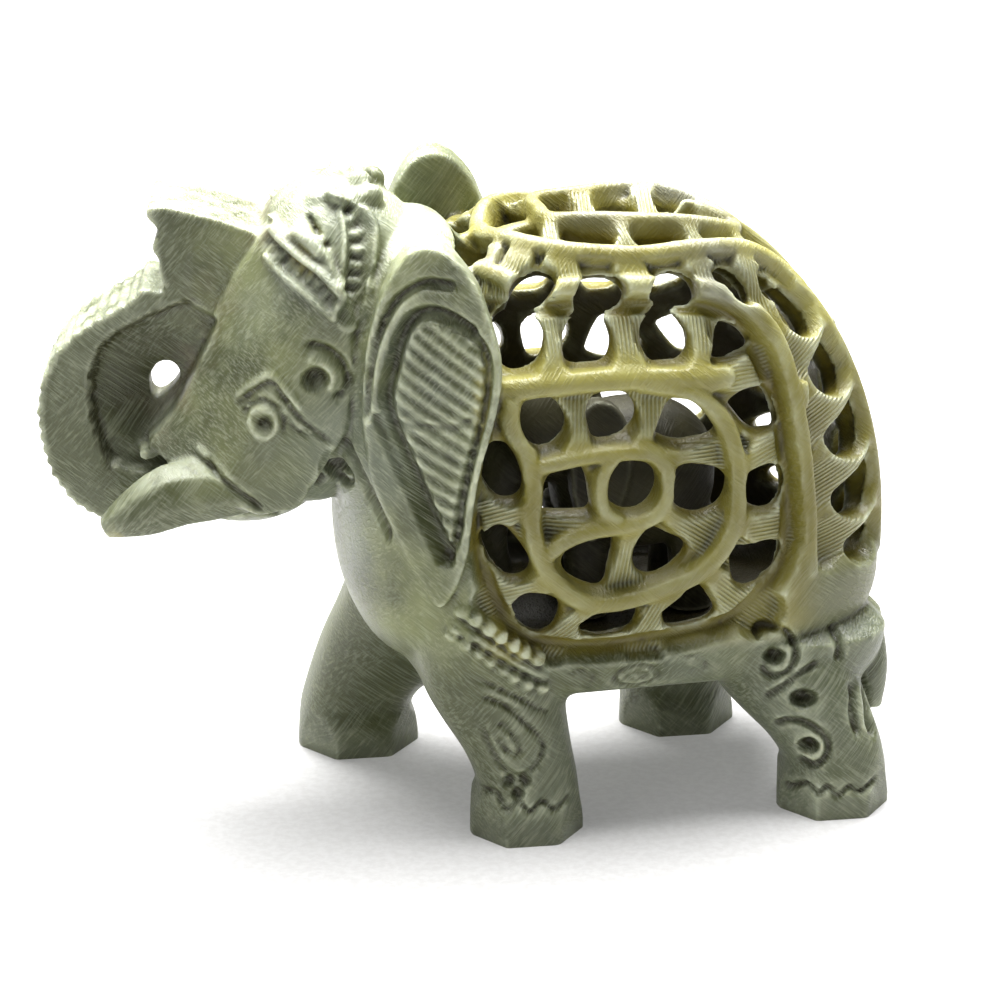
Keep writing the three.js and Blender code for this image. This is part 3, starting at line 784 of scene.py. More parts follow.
def lattice_height(skin_at):
    """For points on the skin: how far the carving is cut below it, and the comb's place and strength."""
    count = len(skin_at)
    vines, leaves, ditches, rims = lattice_lines()
    ground = lattice_ground(skin_at)
    drop, closest = ground.copy(), np.full(count, 1.5)
    comb, combed = np.zeros(count), np.zeros(count)
    for line, foot_half, tip_half, dip in leaves:
        index = near(skin_at, line, 4.5)
        gap, share = off_line(skin_at[index], line)
        half = foot_half + (tip_half - foot_half) * share
        measure = gap / half
        better = measure < closest[index]
        index, gap, share, measure = index[better], gap[better], share[better], measure[better]
        closest[index] = measure
        leaf = 0.15 + (1.45 * dip - 0.15) * share**1.3 + 0.3 * share * (1 - np.clip(measure, 0, 1) ** 2)
        drop[index] = leaf + (ground[index] - leaf) * ramp(measure, 1.0, 1.35)
        along = unit((line[-1] - line[0])[None, :])[0]
        across = np.cross(along, skin_normals(line[len(line) // 2][None, :])[0])
        comb[index] = (skin_at[index] - line[0]) @ across
        combed[index] = ramp(share, 0.18, 0.4) * (1 - ramp(measure, 1.1, 1.4))
    for rim in rims:
        index = near(skin_at, rim, 1.6)
        gap, _share = off_line(skin_at[index], rim)
        drop[index] = np.maximum(drop[index], 2.5 * (1 - ramp(gap, 0.1, 1.25)))
    for line in ditches:
        index = near(skin_at, line, 3)
        gap, _share = off_line(skin_at[index], line)
        depth = 2.7 * (1 - ramp(gap, 0.7, 1.8))
        drop[index] = np.maximum(drop[index], depth)
        combed[index] *= ramp(gap, 0.6, 1.4)
    vine = np.zeros(count)
    height = np.zeros(count)
    for line, half in vines:
        index = near(skin_at, line, half + 1)
        gap, _share = off_line(skin_at[index], line)
        half = half * 0.86
        body = 1 - ramp(gap, half - 0.15, half + 0.4)
        crown = 0.42 * (1 - np.clip(gap / half, 0, 1) ** 2)
        stronger = body > vine[index]
        vine[index] = np.where(stronger, body, vine[index])
        height[index] = np.where(stronger, crown, height[index])
    drop = drop * (1 - vine) - height * vine
    return drop, comb, combed * (1 - vine)


def mill(piece):
    """The lattice's relief: whatever stands higher than the carving is cut down to it."""
    at = places(piece)
    skin_at = onto_skin(at)
    out = skin_normals(skin_at)
    deep = ((skin_at - at) * out).sum(axis=1)
    aside = np.linalg.norm(skin_at - at - out * deep[:, None], axis=1)
    shell = (np.abs(deep) < 4) & (aside < 1) & (at[:, 0] > PANEL_FRONT) & (at[:, 2] > PANEL_FOOT)
    shell &= ~((deep < -0.5) & (at[:, 0] < 6))
    index = np.flatnonzero(shell)
    drop = lattice_height(skin_at[index])[0]
    cut_to = np.maximum(deep[index], drop)
    raised = (drop < 0) & (deep[index] < 0.6)
    cut_to = np.where(raised, deep[index] + drop * (1 - ramp(deep[index], 0.1, 0.6)), cut_to)
    at[index] = skin_at[index] - out[index] * cut_to[:, None]
    put(piece, at)


# ---------------------------------------------------------------- the ear's ribs and the gouge's strokes
EAR_PANEL = [(0.6, 65.2), (-1.9, 66.4), (-4.2, 66.9), (-5.9, 66.0), (-7.0, 63.7), (-7.9, 60.4),
    (-8.5, 57.2), (-8.0, 54.2),
             (-6.3, 49.8), (-4.6, 45.4), (-3.0, 41.0), (-1.7, 38.6), (-0.6, 40.6), (0.0, 45.0), (0.7, 49.4),
                 (1.5, 53.0),
             (2.2, 57.4), (2.5, 61.4), (1.8, 64.0)]


def ear_ribs(head, out_y, outline):
    """Which points are on the ear's panel, and how far each is across its ribs, in steps of the comb."""
    flat = head[:, [0, 2]] - np.where(head[:, 1:2] > 0, RIGHT_EAR_RISE, 0) * np.array((0, 1))
    panel = within_outline(flat, outline) & (np.abs(head[:, 1]) > 11) & (np.abs(out_y) > 0.25)
    across = flat @ np.array((0.50, 0.86)) + 0.012 * (flat[:, 1] - 54) * flat[:, 0]
    return panel, across * COMB_PITCH / RIB_PITCH


class Carving:
    """A gouge at work on a piece: strokes are collected, then cut square to the surface."""

    def __init__(self, piece):
        self.piece = piece
        self.at = places(piece)
        self.out = normals(piece)
        self.head = to_head(self.at)
        head_out = to_head(self.out + np.array([NECK_X, 0, 0])) - np.array([NECK_X, 0, 0])
        self.head_out = head_out
        self.sink = np.zeros(len(self.at))

    def face(self, name):
        """The part of the surface a drawing lies on, and where each of its points falls in the drawing."""
        head_side = self.head[:, 1] * self.head_out[:, 1] > 0
        facing = np.abs(self.head_out[:, 1]) > 0.35
        reach = np.abs(self.head[:, 1])
        if name == "ear":
            inside = head_side & facing & (reach > 15.2) & (self.head[:, 0] < 5) & (self.head[:, 2] > 29)
        elif name == "head":
            inside = head_side & (np.abs(self.head_out[:, 1]) > 0.2) & (reach > 4)
            inside &= (self.head[:, 0] < -9) & (self.head[:, 2] > 34)
        elif name == "trunk":
            inside = head_side & (np.abs(self.head_out[:, 1]) > 0.5) & (self.head[:, 0] < -28)
            inside &= (reach > 5) & (reach < 8.6)
        else:
            inside = (self.at[:, 1] * self.out[:, 1] > 0) & (np.abs(self.out[:, 1]) > 0.2)
            inside &= (self.at[:, 2] < 34) & (np.abs(self.at[:, 1]) > 6)
            return np.flatnonzero(inside), self.at[inside][:, [0, 2]]
        return np.flatnonzero(inside), self.head[inside][:, [0, 2]]

    def stroke(self, name, line, width, deep, count=None, ends=0.0):
        """A groove along a line, or a ridge where deep is negative."""
        index, flat = self.face(name)
        line = through([(x, 0, z) for x, z in line], count or max(len(line) * 5, 8))[:, [0, 2]]
        low, high = line.min(axis=0) - width, line.max(axis=0) + width
        inside = np.all((flat > low) & (flat < high), axis=1)
        index, flat = index[inside], flat[inside]
        gap, share = off_line(flat, line)
        fade = ramp(share, 0, ends) * ramp(1 - share, 0, ends) if ends else 1
        self.sink[index] += deep * (1 - np.clip(gap / width, 0, 1) ** 2) ** 2 * fade

    def pit(self, name, middle, size, deep):
        index, flat = self.face(name)
        gap = np.linalg.norm((flat - np.array(middle)) / np.array(size), axis=1)
        self.sink[index] += deep * (1 - np.clip(gap, 0, 1) ** 2) ** 0.8

    def beads(self, name, line, pitch, size, rise):
        """A row of small round knobs along a line."""
        line = through([(x, 0, z) for x, z in line], 40)[:, [0, 2]]
        length = np.linalg.norm(np.diff(line, axis=0), axis=1).sum()
        for t in np.linspace(0, 39, max(int(length / pitch), 2)):
            self.pit(name, line[int(t)], (size, size), -rise)

    def ribs(self, outline, deep):
        """Slanting ribs over the ear's sunken panel."""
        panel, along = ear_ribs(self.head, self.out[:, 1], outline)
        wave = 0.5 - 0.5 * np.sin(along * 2 * math.pi / COMB_PITCH)
        self.sink += deep * wave * panel

    def finish(self):
        put(self.piece, self.at - self.out * np.clip(1.3 * self.sink, -1.2, 2.3)[:, None])


def carve_head(work):
    # the ear: its ditch, its rim, the ribbed panel and the lines of its front strip
    panel_left = [(0.4, 66.2), (-1.9, 67.6), (-4.2, 68.1), (-6.3, 67.2), (-7.7, 64.7), (-8.6, 61.4),
        (-9.4, 57.7),
                  (-9.0, 54.6), (-7.3, 50.2), (-5.5, 45.8), (-3.8, 41.4), (-2.3, 37.3)]
    work.stroke("ear", panel_left, 1.25, 2.0)
    work.stroke("ear", [(-1.9, 71.5), (-4.8, 71.5), (-7.7, 69.6), (-9.7, 66.3), (-10.9, 62.9),
        (-11.6, 58.9), (-11.9, 55.2)], 1.0, 1.5)
    work.stroke("ear", [(-4.8, 71.1), (-7.1, 69.6), (-8.9, 66.9), (-10.1, 63.8), (-10.8, 60.5),
        (-11.3, 57.1), (-11.6, 54.3)], 0.7, -0.5)
    work.stroke("ear", [(-10.6, 54.9), (-9.0, 50.8), (-6.7, 45.5), (-4.4, 39.8), (-3.2, 37.0)], 0.8, 0.9)
    work.stroke("head", [(-14.4, 49.9), (-12.7, 46.4), (-10.9, 42.6), (-9.2, 39.4), (-7.7, 36.6)], 0.8, 0.8)
    work.stroke("ear", [(0.4, 66.2), (2.0, 64.4), (2.6, 61.4), (2.2, 57.4), (1.2, 53.0), (0.3, 49.4),
        (-0.6, 45.0), (-1.2, 40.4), (-2.3, 37.3)], 0.8, 1.2)
    work.ribs(EAR_PANEL, 0.4)
    work.stroke("ear", [(-7.8, 54.3), (-4.9, 54.1), (-1.4, 54.3), (0.7, 55.5)], 0.6, 0.5)
    # the temple's swirls
    work.pit("head", (-17.8, 58.4), (1.9, 1.7), 1.9)
    work.stroke("head", [(-19.3, 62.9), (-16.9, 62.4), (-14.9, 60.9), (-13.9, 58.7), (-14.5, 56.7),
        (-16.1, 56.1)], 0.8, 1.0, ends=0.12)
    work.stroke("head", [(-18.4, 60.9), (-16.8, 60.4), (-15.8, 58.9), (-16.2, 57.6)], 0.7, -0.5)
    work.pit("head", (-15.4, 45.9), (1.5, 1.4), 1.5)
    work.pit("head", (-17.8, 44.3), (1.1, 1.0), 1.1)
    work.stroke("head", [(-16.1, 49.7), (-16.9, 47.5), (-16.6, 45.6), (-15.1, 44.0), (-14.1, 44.6),
        (-14.2, 46.5)], 0.7, 0.9, ends=0.1)
    # brow and eye
    work.stroke("head", [(-27.5, 54.6), (-25.6, 56.4), (-23.2, 58.0), (-21.8, 56.4), (-19.8, 53.6),
        (-17.7, 51.7), (-15.8, 50.4)], 0.55, 0.7, ends=0.08)
    work.stroke("head", [(-27.7, 55.4), (-25.7, 57.3), (-23.1, 58.9), (-21.2, 57.0), (-19.2, 54.2)], 0.6,
        -0.45, ends=0.1)
    work.stroke("head", [(-21.8, 54.2), (-20.4, 52.3), (-18.3, 51.2)], 0.5, 0.5, ends=0.15)
    work.stroke("head", [(-25.7, 53.0), (-25.2, 54.2), (-24.2, 54.8), (-23.0, 54.4), (-22.5, 53.4),
        (-22.8, 52.0), (-23.8, 51.2), (-25.0, 51.6), (-25.7, 53.0)], 0.5, -0.5)
    work.pit("head", (-24.0, 52.9), (0.95, 0.95), 1.0)
    work.stroke("head", [(-26.6, 53.6), (-25.9, 55.0), (-24.4, 55.8), (-22.7, 55.2), (-21.8, 53.4),
        (-21.6, 51.4)], 0.5, 0.5, ends=0.1)
    # behind the tusk, and the mouth
    work.stroke("head", [(-31.4, 48.2), (-28.8, 45.8), (-26.2, 43.6), (-24.3, 41.8)], 0.7, 0.8, ends=0.1)
    work.stroke("head", [(-32.7, 49.5), (-30.0, 47.4), (-27.2, 44.9), (-25.4, 43.4)], 0.6, -0.4, ends=0.1)
    work.stroke("head", [(-31.0, 36.9), (-28.6, 38.6), (-25.9, 39.0), (-22.6, 38.2)], 0.7, 1.1, ends=0.08)
    # the headdress: two channels of beads between rims, and a slit leaf between them
    work.stroke("head", [(-23.0, 75.7), (-21.7, 74.3), (-19.4, 72.7), (-17.1, 71.4), (-15.3, 69.6),
        (-14.7, 68.3), (-15.6, 66.3)], 0.8, -0.9)
    work.stroke("head", [(-15.7, 79.0), (-13.8, 78.2), (-11.9, 77.0), (-10.9, 75.4), (-11.0, 72.7),
        (-11.2, 69.3)], 0.8, -0.9)
    work.stroke("head", [(-23.4, 72.3), (-21.2, 70.3), (-19.0, 68.9), (-17.1, 67.5), (-15.6, 66.4)], 0.7,
        -0.8)
    work.stroke("head", [(-22.8, 73.6), (-19.9, 71.5), (-17.6, 70.1), (-15.4, 68.2)], 1.2, 1.0)
    work.beads("head", [(-22.8, 73.4), (-19.9, 71.3), (-17.6, 70.0), (-15.4, 68.0)], 1.15, 0.72, 1.0)
    work.stroke("head", [(-13.6, 77.4), (-12.8, 75.3), (-12.8, 72.7), (-13.3, 69.6)], 1.3, 1.0)
    work.beads("head", [(-13.4, 76.8), (-12.7, 74.9), (-12.8, 72.5), (-13.2, 70.0)], 1.2, 0.78, 1.0)
    work.stroke("head", [(-14.6, 77.8), (-14.2, 75.2), (-14.4, 72.4), (-14.6, 70)], 0.6, -0.6)
    work.stroke("head", [(-18.8, 77.4), (-17.4, 75.6), (-15.8, 73.6)], 0.55, 1.4, ends=0.2)
    work.stroke("head", [(-20.6, 76.2), (-18.6, 74.6), (-16.6, 72.8)], 0.9, -0.5, ends=0.2)
    work.stroke("head", [(-11.2, 69.3), (-12.0, 66.4), (-13.8, 64.6), (-15.6, 66.3)], 0.6, -0.4, ends=0.1)


CURL_GROOVE = [(-42.9, 45.1), (-44.3, 48.2), (-45.0, 52.0), (-45.1, 55.4), (-44.4, 58.7), (-42.8, 61.1),
    (-40.2, 62.8),
               (-36.5, 64.5), (-32.5, 65.9)]
CURL_HEART = (-36.8, 55.0)


def mill_curl(piece):
    """The web inside the trunk's curl lies lower than the trunk round it, and falls away to the piercing."""
    at = places(piece)
    head = to_head(at)
    off = head[:, [0, 2]] - np.array(CURL_HEART)
    turn, far = np.arctan2(off[:, 1], -off[:, 0]), np.hypot(off[:, 0], off[:, 1])
    line = through([(x, 0, z) for x, z in CURL_GROOVE], 60)[:, [0, 2]] - np.array(CURL_HEART)
    rim = np.interp(turn, np.arctan2(line[:, 1], -line[:, 0]), np.hypot(line[:, 0], line[:, 1]), left=11,
        right=11)
    within = (head[:, 0] < -27) & (head[:, 0] > -47) & (head[:, 2] > 44.5)
    within &= (np.abs(head[:, 1]) < 8.4) & (far < rim + 0.6)
    sink = 1.7 * ramp(rim + 0.5 - far, 0, 0.9) + 3.6 * (1 - np.clip(far / 8.2, 0, 1)) ** 0.9
    highest = 6.6 - sink
    lowered = within & (np.abs(head[:, 1]) > highest)
    head[lowered, 1] = np.sign(head[lowered, 1]) * highest[lowered]
    put(piece, from_head(head))


def carve_legs(work):
    # the necklace's two rows of beads, with a smooth cord between them
    work.beads("legs", [(-4.2, 30.3), (-1.1, 28.0), (2.5, 25.2), (4.6, 23.8)], 1.5, 0.95, 0.9)
    work.beads("legs", [(-5.3, 27.3), (-1.6, 24.6), (2.5, 21.2), (5.4, 20.0)], 1.5, 0.95, 0.9)
    work.stroke("legs", [(-6.1, 28.9), (-1.3, 26.1), (2.6, 23.2), (6.2, 20.9)], 0.9, -0.35, ends=0.05)
    work.stroke("legs", [(-5.0, 29.7), (-1.2, 27.0), (2.6, 24.2), (5.6, 22.4)], 0.5, 0.6, ends=0.05)
    work.stroke("legs", [(-6.4, 28.0), (-1.5, 25.3), (2.5, 22.3), (6.2, 20.2)], 0.5, 0.6, ends=0.05)
    # the front leg: a line, a loop with an inner drop, and a trefoil
    work.stroke("legs", [(-3.2, 22.2), (1.6, 19.4), (6.5, 16.5)], 0.45, 0.55, ends=0.1)
    work.stroke("legs", [(-2.6, 19.6), (0.7, 18.1), (3.4, 15.4), (5.3, 12.9), (4.1, 10.2), (1.9, 9.2),
        (0, 10.6), (-1.5, 13.5), (-2.2, 16.0)], 0.5, 0.65, ends=0.05)
    work.stroke("legs", [(-0.9, 15.9), (0.4, 15.7), (1.9, 13.6), (2.2, 12.0), (0.7, 12.5), (-0.6, 14.4)],
        0.45, 0.55, ends=0.1)
    for place in ((1.0, 8.4), (2.8, 8.4), (1.9, 6.9)):
        work.pit("legs", place, (1.0, 1.0), 1.1)
    work.stroke("legs", [(-2.4, 6.0), (-0.6, 6.8), (0.5, 4.8), (2.0, 5.8), (3.4, 4.6), (5.0, 5.8),
        (6.4, 4.6), (8.4, 5.6)], 0.5, 0.7)
    # the belly's band: an oval with another inside it, and a small swirl
    work.stroke("legs", [(14.3, 20.2), (16, 21.6), (18.6, 21.6), (20.3, 20.2), (18.6, 18.8), (16, 18.8),
        (14.3, 20.2)], 0.45, 0.5)
    work.stroke("legs", [(16, 20.2), (17.3, 20.9), (18.7, 20.2), (17.3, 19.6), (16, 20.2)], 0.35, 0.4)
    work.stroke("legs", [(22.8, 22.2), (24.6, 22.6), (26.2, 21.4), (25.2, 20.2), (24.0, 20.9)], 0.4, 0.5,
        ends=0.1)
    work.stroke("legs", [(8.6, 21.2), (10.2, 21.8), (12.0, 20.6), (11.0, 19.4)], 0.4, 0.45, ends=0.1)
    # the rear leg: swirls round deep pits, crescents, and hollows of leaves down its back edge
    work.stroke("legs", [(32.2, 24.0), (33.6, 25.0), (35.9, 24.7), (37.6, 22.3), (36.8, 19.4), (34.4, 18.8),
        (33.2, 20.3)], 0.7, 0.9, ends=0.05)
    work.pit("legs", (34.9, 21.3), (1.5, 1.2), 1.5)
    work.stroke("legs", [(33.6, 15.8), (35.6, 17.2), (38.0, 18.9), (40.7, 20.4)], 0.7, 0.7, ends=0.1)
    work.pit("legs", (38.4, 15.8), (1.9, 1.3), 1.9)
    work.stroke("legs", [(35.0, 12.0), (36.6, 12.9), (38.8, 12.6), (41.2, 10.6), (41.2, 8.3), (39.6, 7.0),
        (37.8, 7.8)], 0.7, 0.9, ends=0.05)
    work.pit("legs", (39.0, 9.6), (1.4, 1.2), 1.6)
    for line in ([(44.6, 17.4), (45.2, 15.8), (44.9, 13.3), (45.6, 10.0)], [(47.2, 16.0), (47.4, 14.0),
        (47.3, 11.9), (48.2, 9.3)],
                 [(42.6, 24.0), (43.4, 22.0), (43.0, 19.6)]):
        work.stroke("legs", line, 0.9, 1.1, ends=0.2)
    work.stroke("legs", [(36.4, 4.6), (37.4, 3.4), (38.8, 4.6), (40.1, 3.7), (41.2, 4.6), (42.5, 3.3),
        (44, 4.4), (45.4, 3.6), (47.6, 4.6)], 0.5, 0.8)


def faceted_feet(piece):
    """The feet are rasped to flats, more than rounded."""
    at = places(piece)
    for middle, size in (((4.2, -15.5), 6.7), ((43.6, -16.5), 6.7), ((-11, 16), 7.4), ((31.5, 13.5), 7.2)):
        index = np.flatnonzero((at[:, 2] < 7) & (np.hypot(at[:, 0] - middle[0],
            at[:, 1] - middle[1]) < size * 1.5))
        off = at[index, :2] - np.array(middle)
        turn = np.arctan2(off[:, 1], off[:, 0])
        far = np.hypot(off[:, 0], off[:, 1])
        flats = 7
        flat_at = size / np.cos((turn + 0.3) % (2 * math.pi / flats) - math.pi / flats)
        share = 1 - ramp(at[index, 2], 4.6, 7)
        wanted = np.minimum(far, flat_at)
        at[index, :2] = np.array(middle) + off * (1 + (wanted / np.maximum(far, 1e-6) - 1) * share)[:, None]
    put(piece, at)


# ---------------------------------------------------------------- putting the animals together
def level(piece, height):
    """The feet are cut off flat at a height."""
    return cut(piece, plate([(-90, -20), (90, -20), (90, height), (-90, height)], -60, 60, 8, smooth=False))


def elephant():
    base = base_form()
    headed = [*head_forms(), ear(-1), ear(1)]
    for piece in headed:
        put(piece, from_head(places(piece)))
    whole = join([base, *headed, tail()], "elephant_carved")
    fuse(whole, FINE)
    hole = curl_piercing()
    put(hole, from_head(places(hole)))
    cut(whole, hole)
    soften(whole, 3)
    mill(whole)
    mill_curl(whole)
    faceted_feet(whole)
    work = Carving(whole)
    carve_head(work)
    work.stroke("trunk", CURL_GROOVE, 0.6, 0.7, ends=0.05)
    carve_legs(work)
    work.finish()
    fuse(whole, FINE)
    soften(whole, 1)
    return level(whole, 0)


def calf():
    parts = [
        lump((21.5, 0, 40), (10.5, 10.5, 7.6, 9.6, 9.6), 2.4),
        lump((10.5, 0, 47), (6.2, 6.4, 6.2, 7.2, 7.2), 2.3),
        limb([(8, 0, 46, 3.8, 3.6), (4.6, 0, 40, 2.8, 2.8), (3.4, 0, 33, 2.1, 2.1),
            (4.6, 0, 27.5, 1.7, 1.7)], 16),
    ]
    for x, y in ((14.5, -4.6), (14.5, 4.6), (28, -4.6), (28, 4.6)):
        parts.append(limb([(x, y, 21, 2.8, 2.9), (x, y, 25, 2.7, 2.8), (x, y, 29, 2.5, 2.7),
            (x, y, 36, 3, 3.4)], 16))
    for side in (-1, 1):
        outline = [(12, 40), (11.6, 47), (14.5, 52), (18.5, 50), (19.4, 43), (17, 36), (14, 34), (12, 40)]
        parts.append(plate(outline, side * 5.4, side * 8.0, 40))
    whole = fuse(join(parts, "calf_carved"), 0.4)
    soften(whole, 5)
    return level(whole, HOLLOW_FLOOR + CALF_GAP)


# ---------------------------------------------------------------- the stone's finish
def curvature(piece):
    """Positive in hollows and negative on edges, per millimetre, smoothed a little."""
    at, out = places(piece), normals(piece)
    mesh = piece.data
    ends = np.zeros(len(mesh.edges) * 2, int)
    mesh.edges.foreach_get("vertices", ends)
    a, b = ends[0::2], ends[1::2]
    count = len(at)
    step = at[b] - at[a]
    size = np.maximum((step**2).sum(axis=1), 1e-4)
    bend = np.bincount(a, (step * out[a]).sum(axis=1) / size, count)
    bend += np.bincount(b, (-step * out[b]).sum(axis=1) / size, count)
    links = np.maximum(np.bincount(a, minlength=count) + np.bincount(b, minlength=count), 1)
    bend = 2 * bend / links
    for _ in range(2):
        total = np.bincount(a, bend[b], count) + np.bincount(b, bend[a], count)
        bend = 0.5 * bend + 0.5 * total / links
    return bend


def mark(piece, name, values):
    attribute = piece.data.attributes.new(name, "FLOAT", "POINT")
    attribute.data.foreach_set("value", np.asarray(values, np.float32))


def blob(at, middle, size):
    return 1 - ramp(np.linalg.norm((at - np.array(middle)) / np.array(size), axis=1), 0.4, 0.5)


def mark_elephant(piece):
    """Where the combed leaves and the honey-coloured lattice are, where shade is painted into the hollows,
    creases, lower parts and trunk, and where the worn edges with painted highlight and the painted light on
    upward and forward faces are.
    """
    at = places(piece)
    head = to_head(at)
    skin_at = onto_skin(at)
    out = skin_normals(skin_at)
    deep = ((skin_at - at) * out).sum(axis=1)
    shell = (deep > -0.7) & (at[:, 0] > PANEL_FRONT) & (at[:, 2] > PANEL_FOOT)
    drop, comb, combed = lattice_height(skin_at)
    facing = (normals(piece) * out).sum(axis=1)
    surface = shell * ramp(facing, 0.25, 0.6) * (1 - ramp(deep, 2.0, 3.0))
    panel, rib = ear_ribs(head, normals(piece)[:, 1], EAR_PANEL)
    mark(piece, "comb", np.where(panel, rib, comb))
    mark(piece, "combed", combed * surface * ~panel)
    mark(piece, "ribbed", panel.astype(float))
    # The honey-coloured stone is the lattice, and some of the crown, the trunk's edge and the tusks' tips.
    honey = ramp(at[:, 0], -3.5, 0.5) * ramp(at[:, 2], 22.6, 25.6) * shell
    honey *= 1 - 0.75 * ramp(at[:, 0], 36, 42) * (1 - ramp(at[:, 2], 30, 36))
    for middle, size in (((-18, -8, 72), (7, 9, 9)), ((-48, 0, 46), (5, 9, 9)), ((-38, 0, 76), (4, 9, 5)),
        ((-42, -13, 40), (4, 5, 5)),
                         ((-42, 13, 40), (4, 5, 5)), ((-38, 0, 47), (6, 12, 4)), ((2, -18, 58), (4, 6, 16)),
                             ((2, 18, 60), (4, 6, 20))):
        honey = np.maximum(honey, 0.75 * blob(head, middle, size))
    honey = np.maximum(honey, 0.5 * blob(at, (4, -16, 8), (9, 9, 8)))
    mark(piece, "honey", honey)
    # Painted shade: the lattice's recesses, the ground between the vines, the ditch and the piercings' rims
    # turn a darker olive, and deep inside the shell almost black.
    inner = np.where(shell, ramp(deep, 0.9, 2.4), 0)
    inner = np.maximum(inner, shell * ramp(drop, 1.3, 2.2) * (1 - 0.6 * combed))
    mark(piece, "recess_shade", inner)
    mark(piece, "inside", np.where(shell, ramp(deep, 3.2, 4.4), 0))
    bend = curvature(piece)
    # Paler on sharp edges, partly wear and dust and partly painted highlight; painted light on the upward
    # faces of the head and neck and on the forward faces of the trunk's curl; and a pale patch on the trunk's
    # raised tip.
    up, front = normals(piece)[:, 2], -normals(piece)[:, 0]
    wear_and_highlight = np.clip(-bend * 1.1 - 0.12, 0, 1)
    wear_and_highlight = np.maximum(wear_and_highlight, 0.6 * ramp(up, 0.25, 0.85) * (at[:, 0] < -1) * ramp(at[:, 2], 36, 48))
    wear_and_highlight = np.maximum(wear_and_highlight, 0.6 * ramp(front, 0.2, 0.6) * (head[:, 0] < -44.5))
    wear_and_highlight = np.maximum(wear_and_highlight, blob(head, (-38, 0, 77.5), (6, 9, 4)))
    mark(piece, "wear_and_highlight", wear_and_highlight)
    # Painted shade: darker in creases and hollows, in the eye's and temple's pits, along the curl's groove
    # and down into the curl's piercing.
    crease_shade = np.clip(bend * 1.25 - 0.1, 0, 1)
    aside = np.abs(head[:, 1])
    for middle, size in (((-24.0, 52.9), 1.2), ((-17.8, 58.4), 1.8), ((-15.4, 45.9), 1.4), ((-17.8, 44.3),
        1.0)):
        gap = np.hypot(head[:, 0] - middle[0], head[:, 2] - middle[1])
        crease_shade = np.maximum(crease_shade, (aside > 6) * (1 - ramp(gap, size * 0.5, size)))
    curl = through([(x, 0, z) for x, z in CURL_GROOVE], 60)[:, [0, 2]]
    gap, _share = off_line(head[:, [0, 2]], curl)
    crease_shade = np.maximum(crease_shade, 0.9 * (1 - ramp(gap, 0.3, 1.1)) * (aside < 7.5))
    fall = np.hypot((head[:, 0] + 38.5) / 6.5, (head[:, 2] - 55.4) / 9)
    crease_shade = np.maximum(crease_shade, 0.55 * (1 - ramp(fall, 0.7, 1.0)) * (aside < 5.6))
    mark(piece, "crease_shade", crease_shade)
    # Painted shade: darker on the trunk, round the tusk's root below the cheek, in a band across the head, on
    # the belly and legs, and on the lower lattice.
    shade_darkening = np.maximum(ramp(-head[:, 0], 30, 36), 0.75 * (1 - ramp(at[:, 2], 19, 28)))
    shade_darkening = np.maximum(shade_darkening, 0.7 * (1 - ramp(np.linalg.norm((head[:,
        [0, 2]] - np.array((-25, 43))) / np.array((9, 8)), axis=1), 0.5, 1)))
    shade_darkening = np.maximum(shade_darkening, 0.35 * (1 - ramp(np.abs(head[:, 2] - 50), 6, 14)) * (head[:, 0] < -10))
    shade_darkening = np.maximum(shade_darkening, 0.7 * (1 - ramp(at[:, 2], 50, 66)) * shell)
    mark(piece, "shade_darkening", shade_darkening)
    cheek_line = through([(x, 0, z) for x, z in CHEEK_EDGE], 40)[:, [0, 2]]
    gap, _share = off_line(head[:, [0, 2]], cheek_line)
    rust = (1 - ramp(gap, 0.5, 5.5)) * (head[:, 0] < -15) * (np.abs(head[:, 1]) < 13)
    rust = np.maximum(rust, 0.8 * blob(head, (-33, 0, 74), (5, 12, 4)))
    rust = np.maximum(rust, 0.7 * blob(head, (-47, 0, 52), (4, 12, 8)))
    mark(piece, "rust", rust)


def mark_calf(piece):
    bend = curvature(piece)
    # Paler edges, wear with painted highlight; darker creases, painted shade.
    mark(piece, "wear_and_highlight", np.clip(-bend * 0.9 - 0.12, 0, 1))
    mark(piece, "crease_shade", np.clip(bend * 0.9 - 0.1, 0, 1))


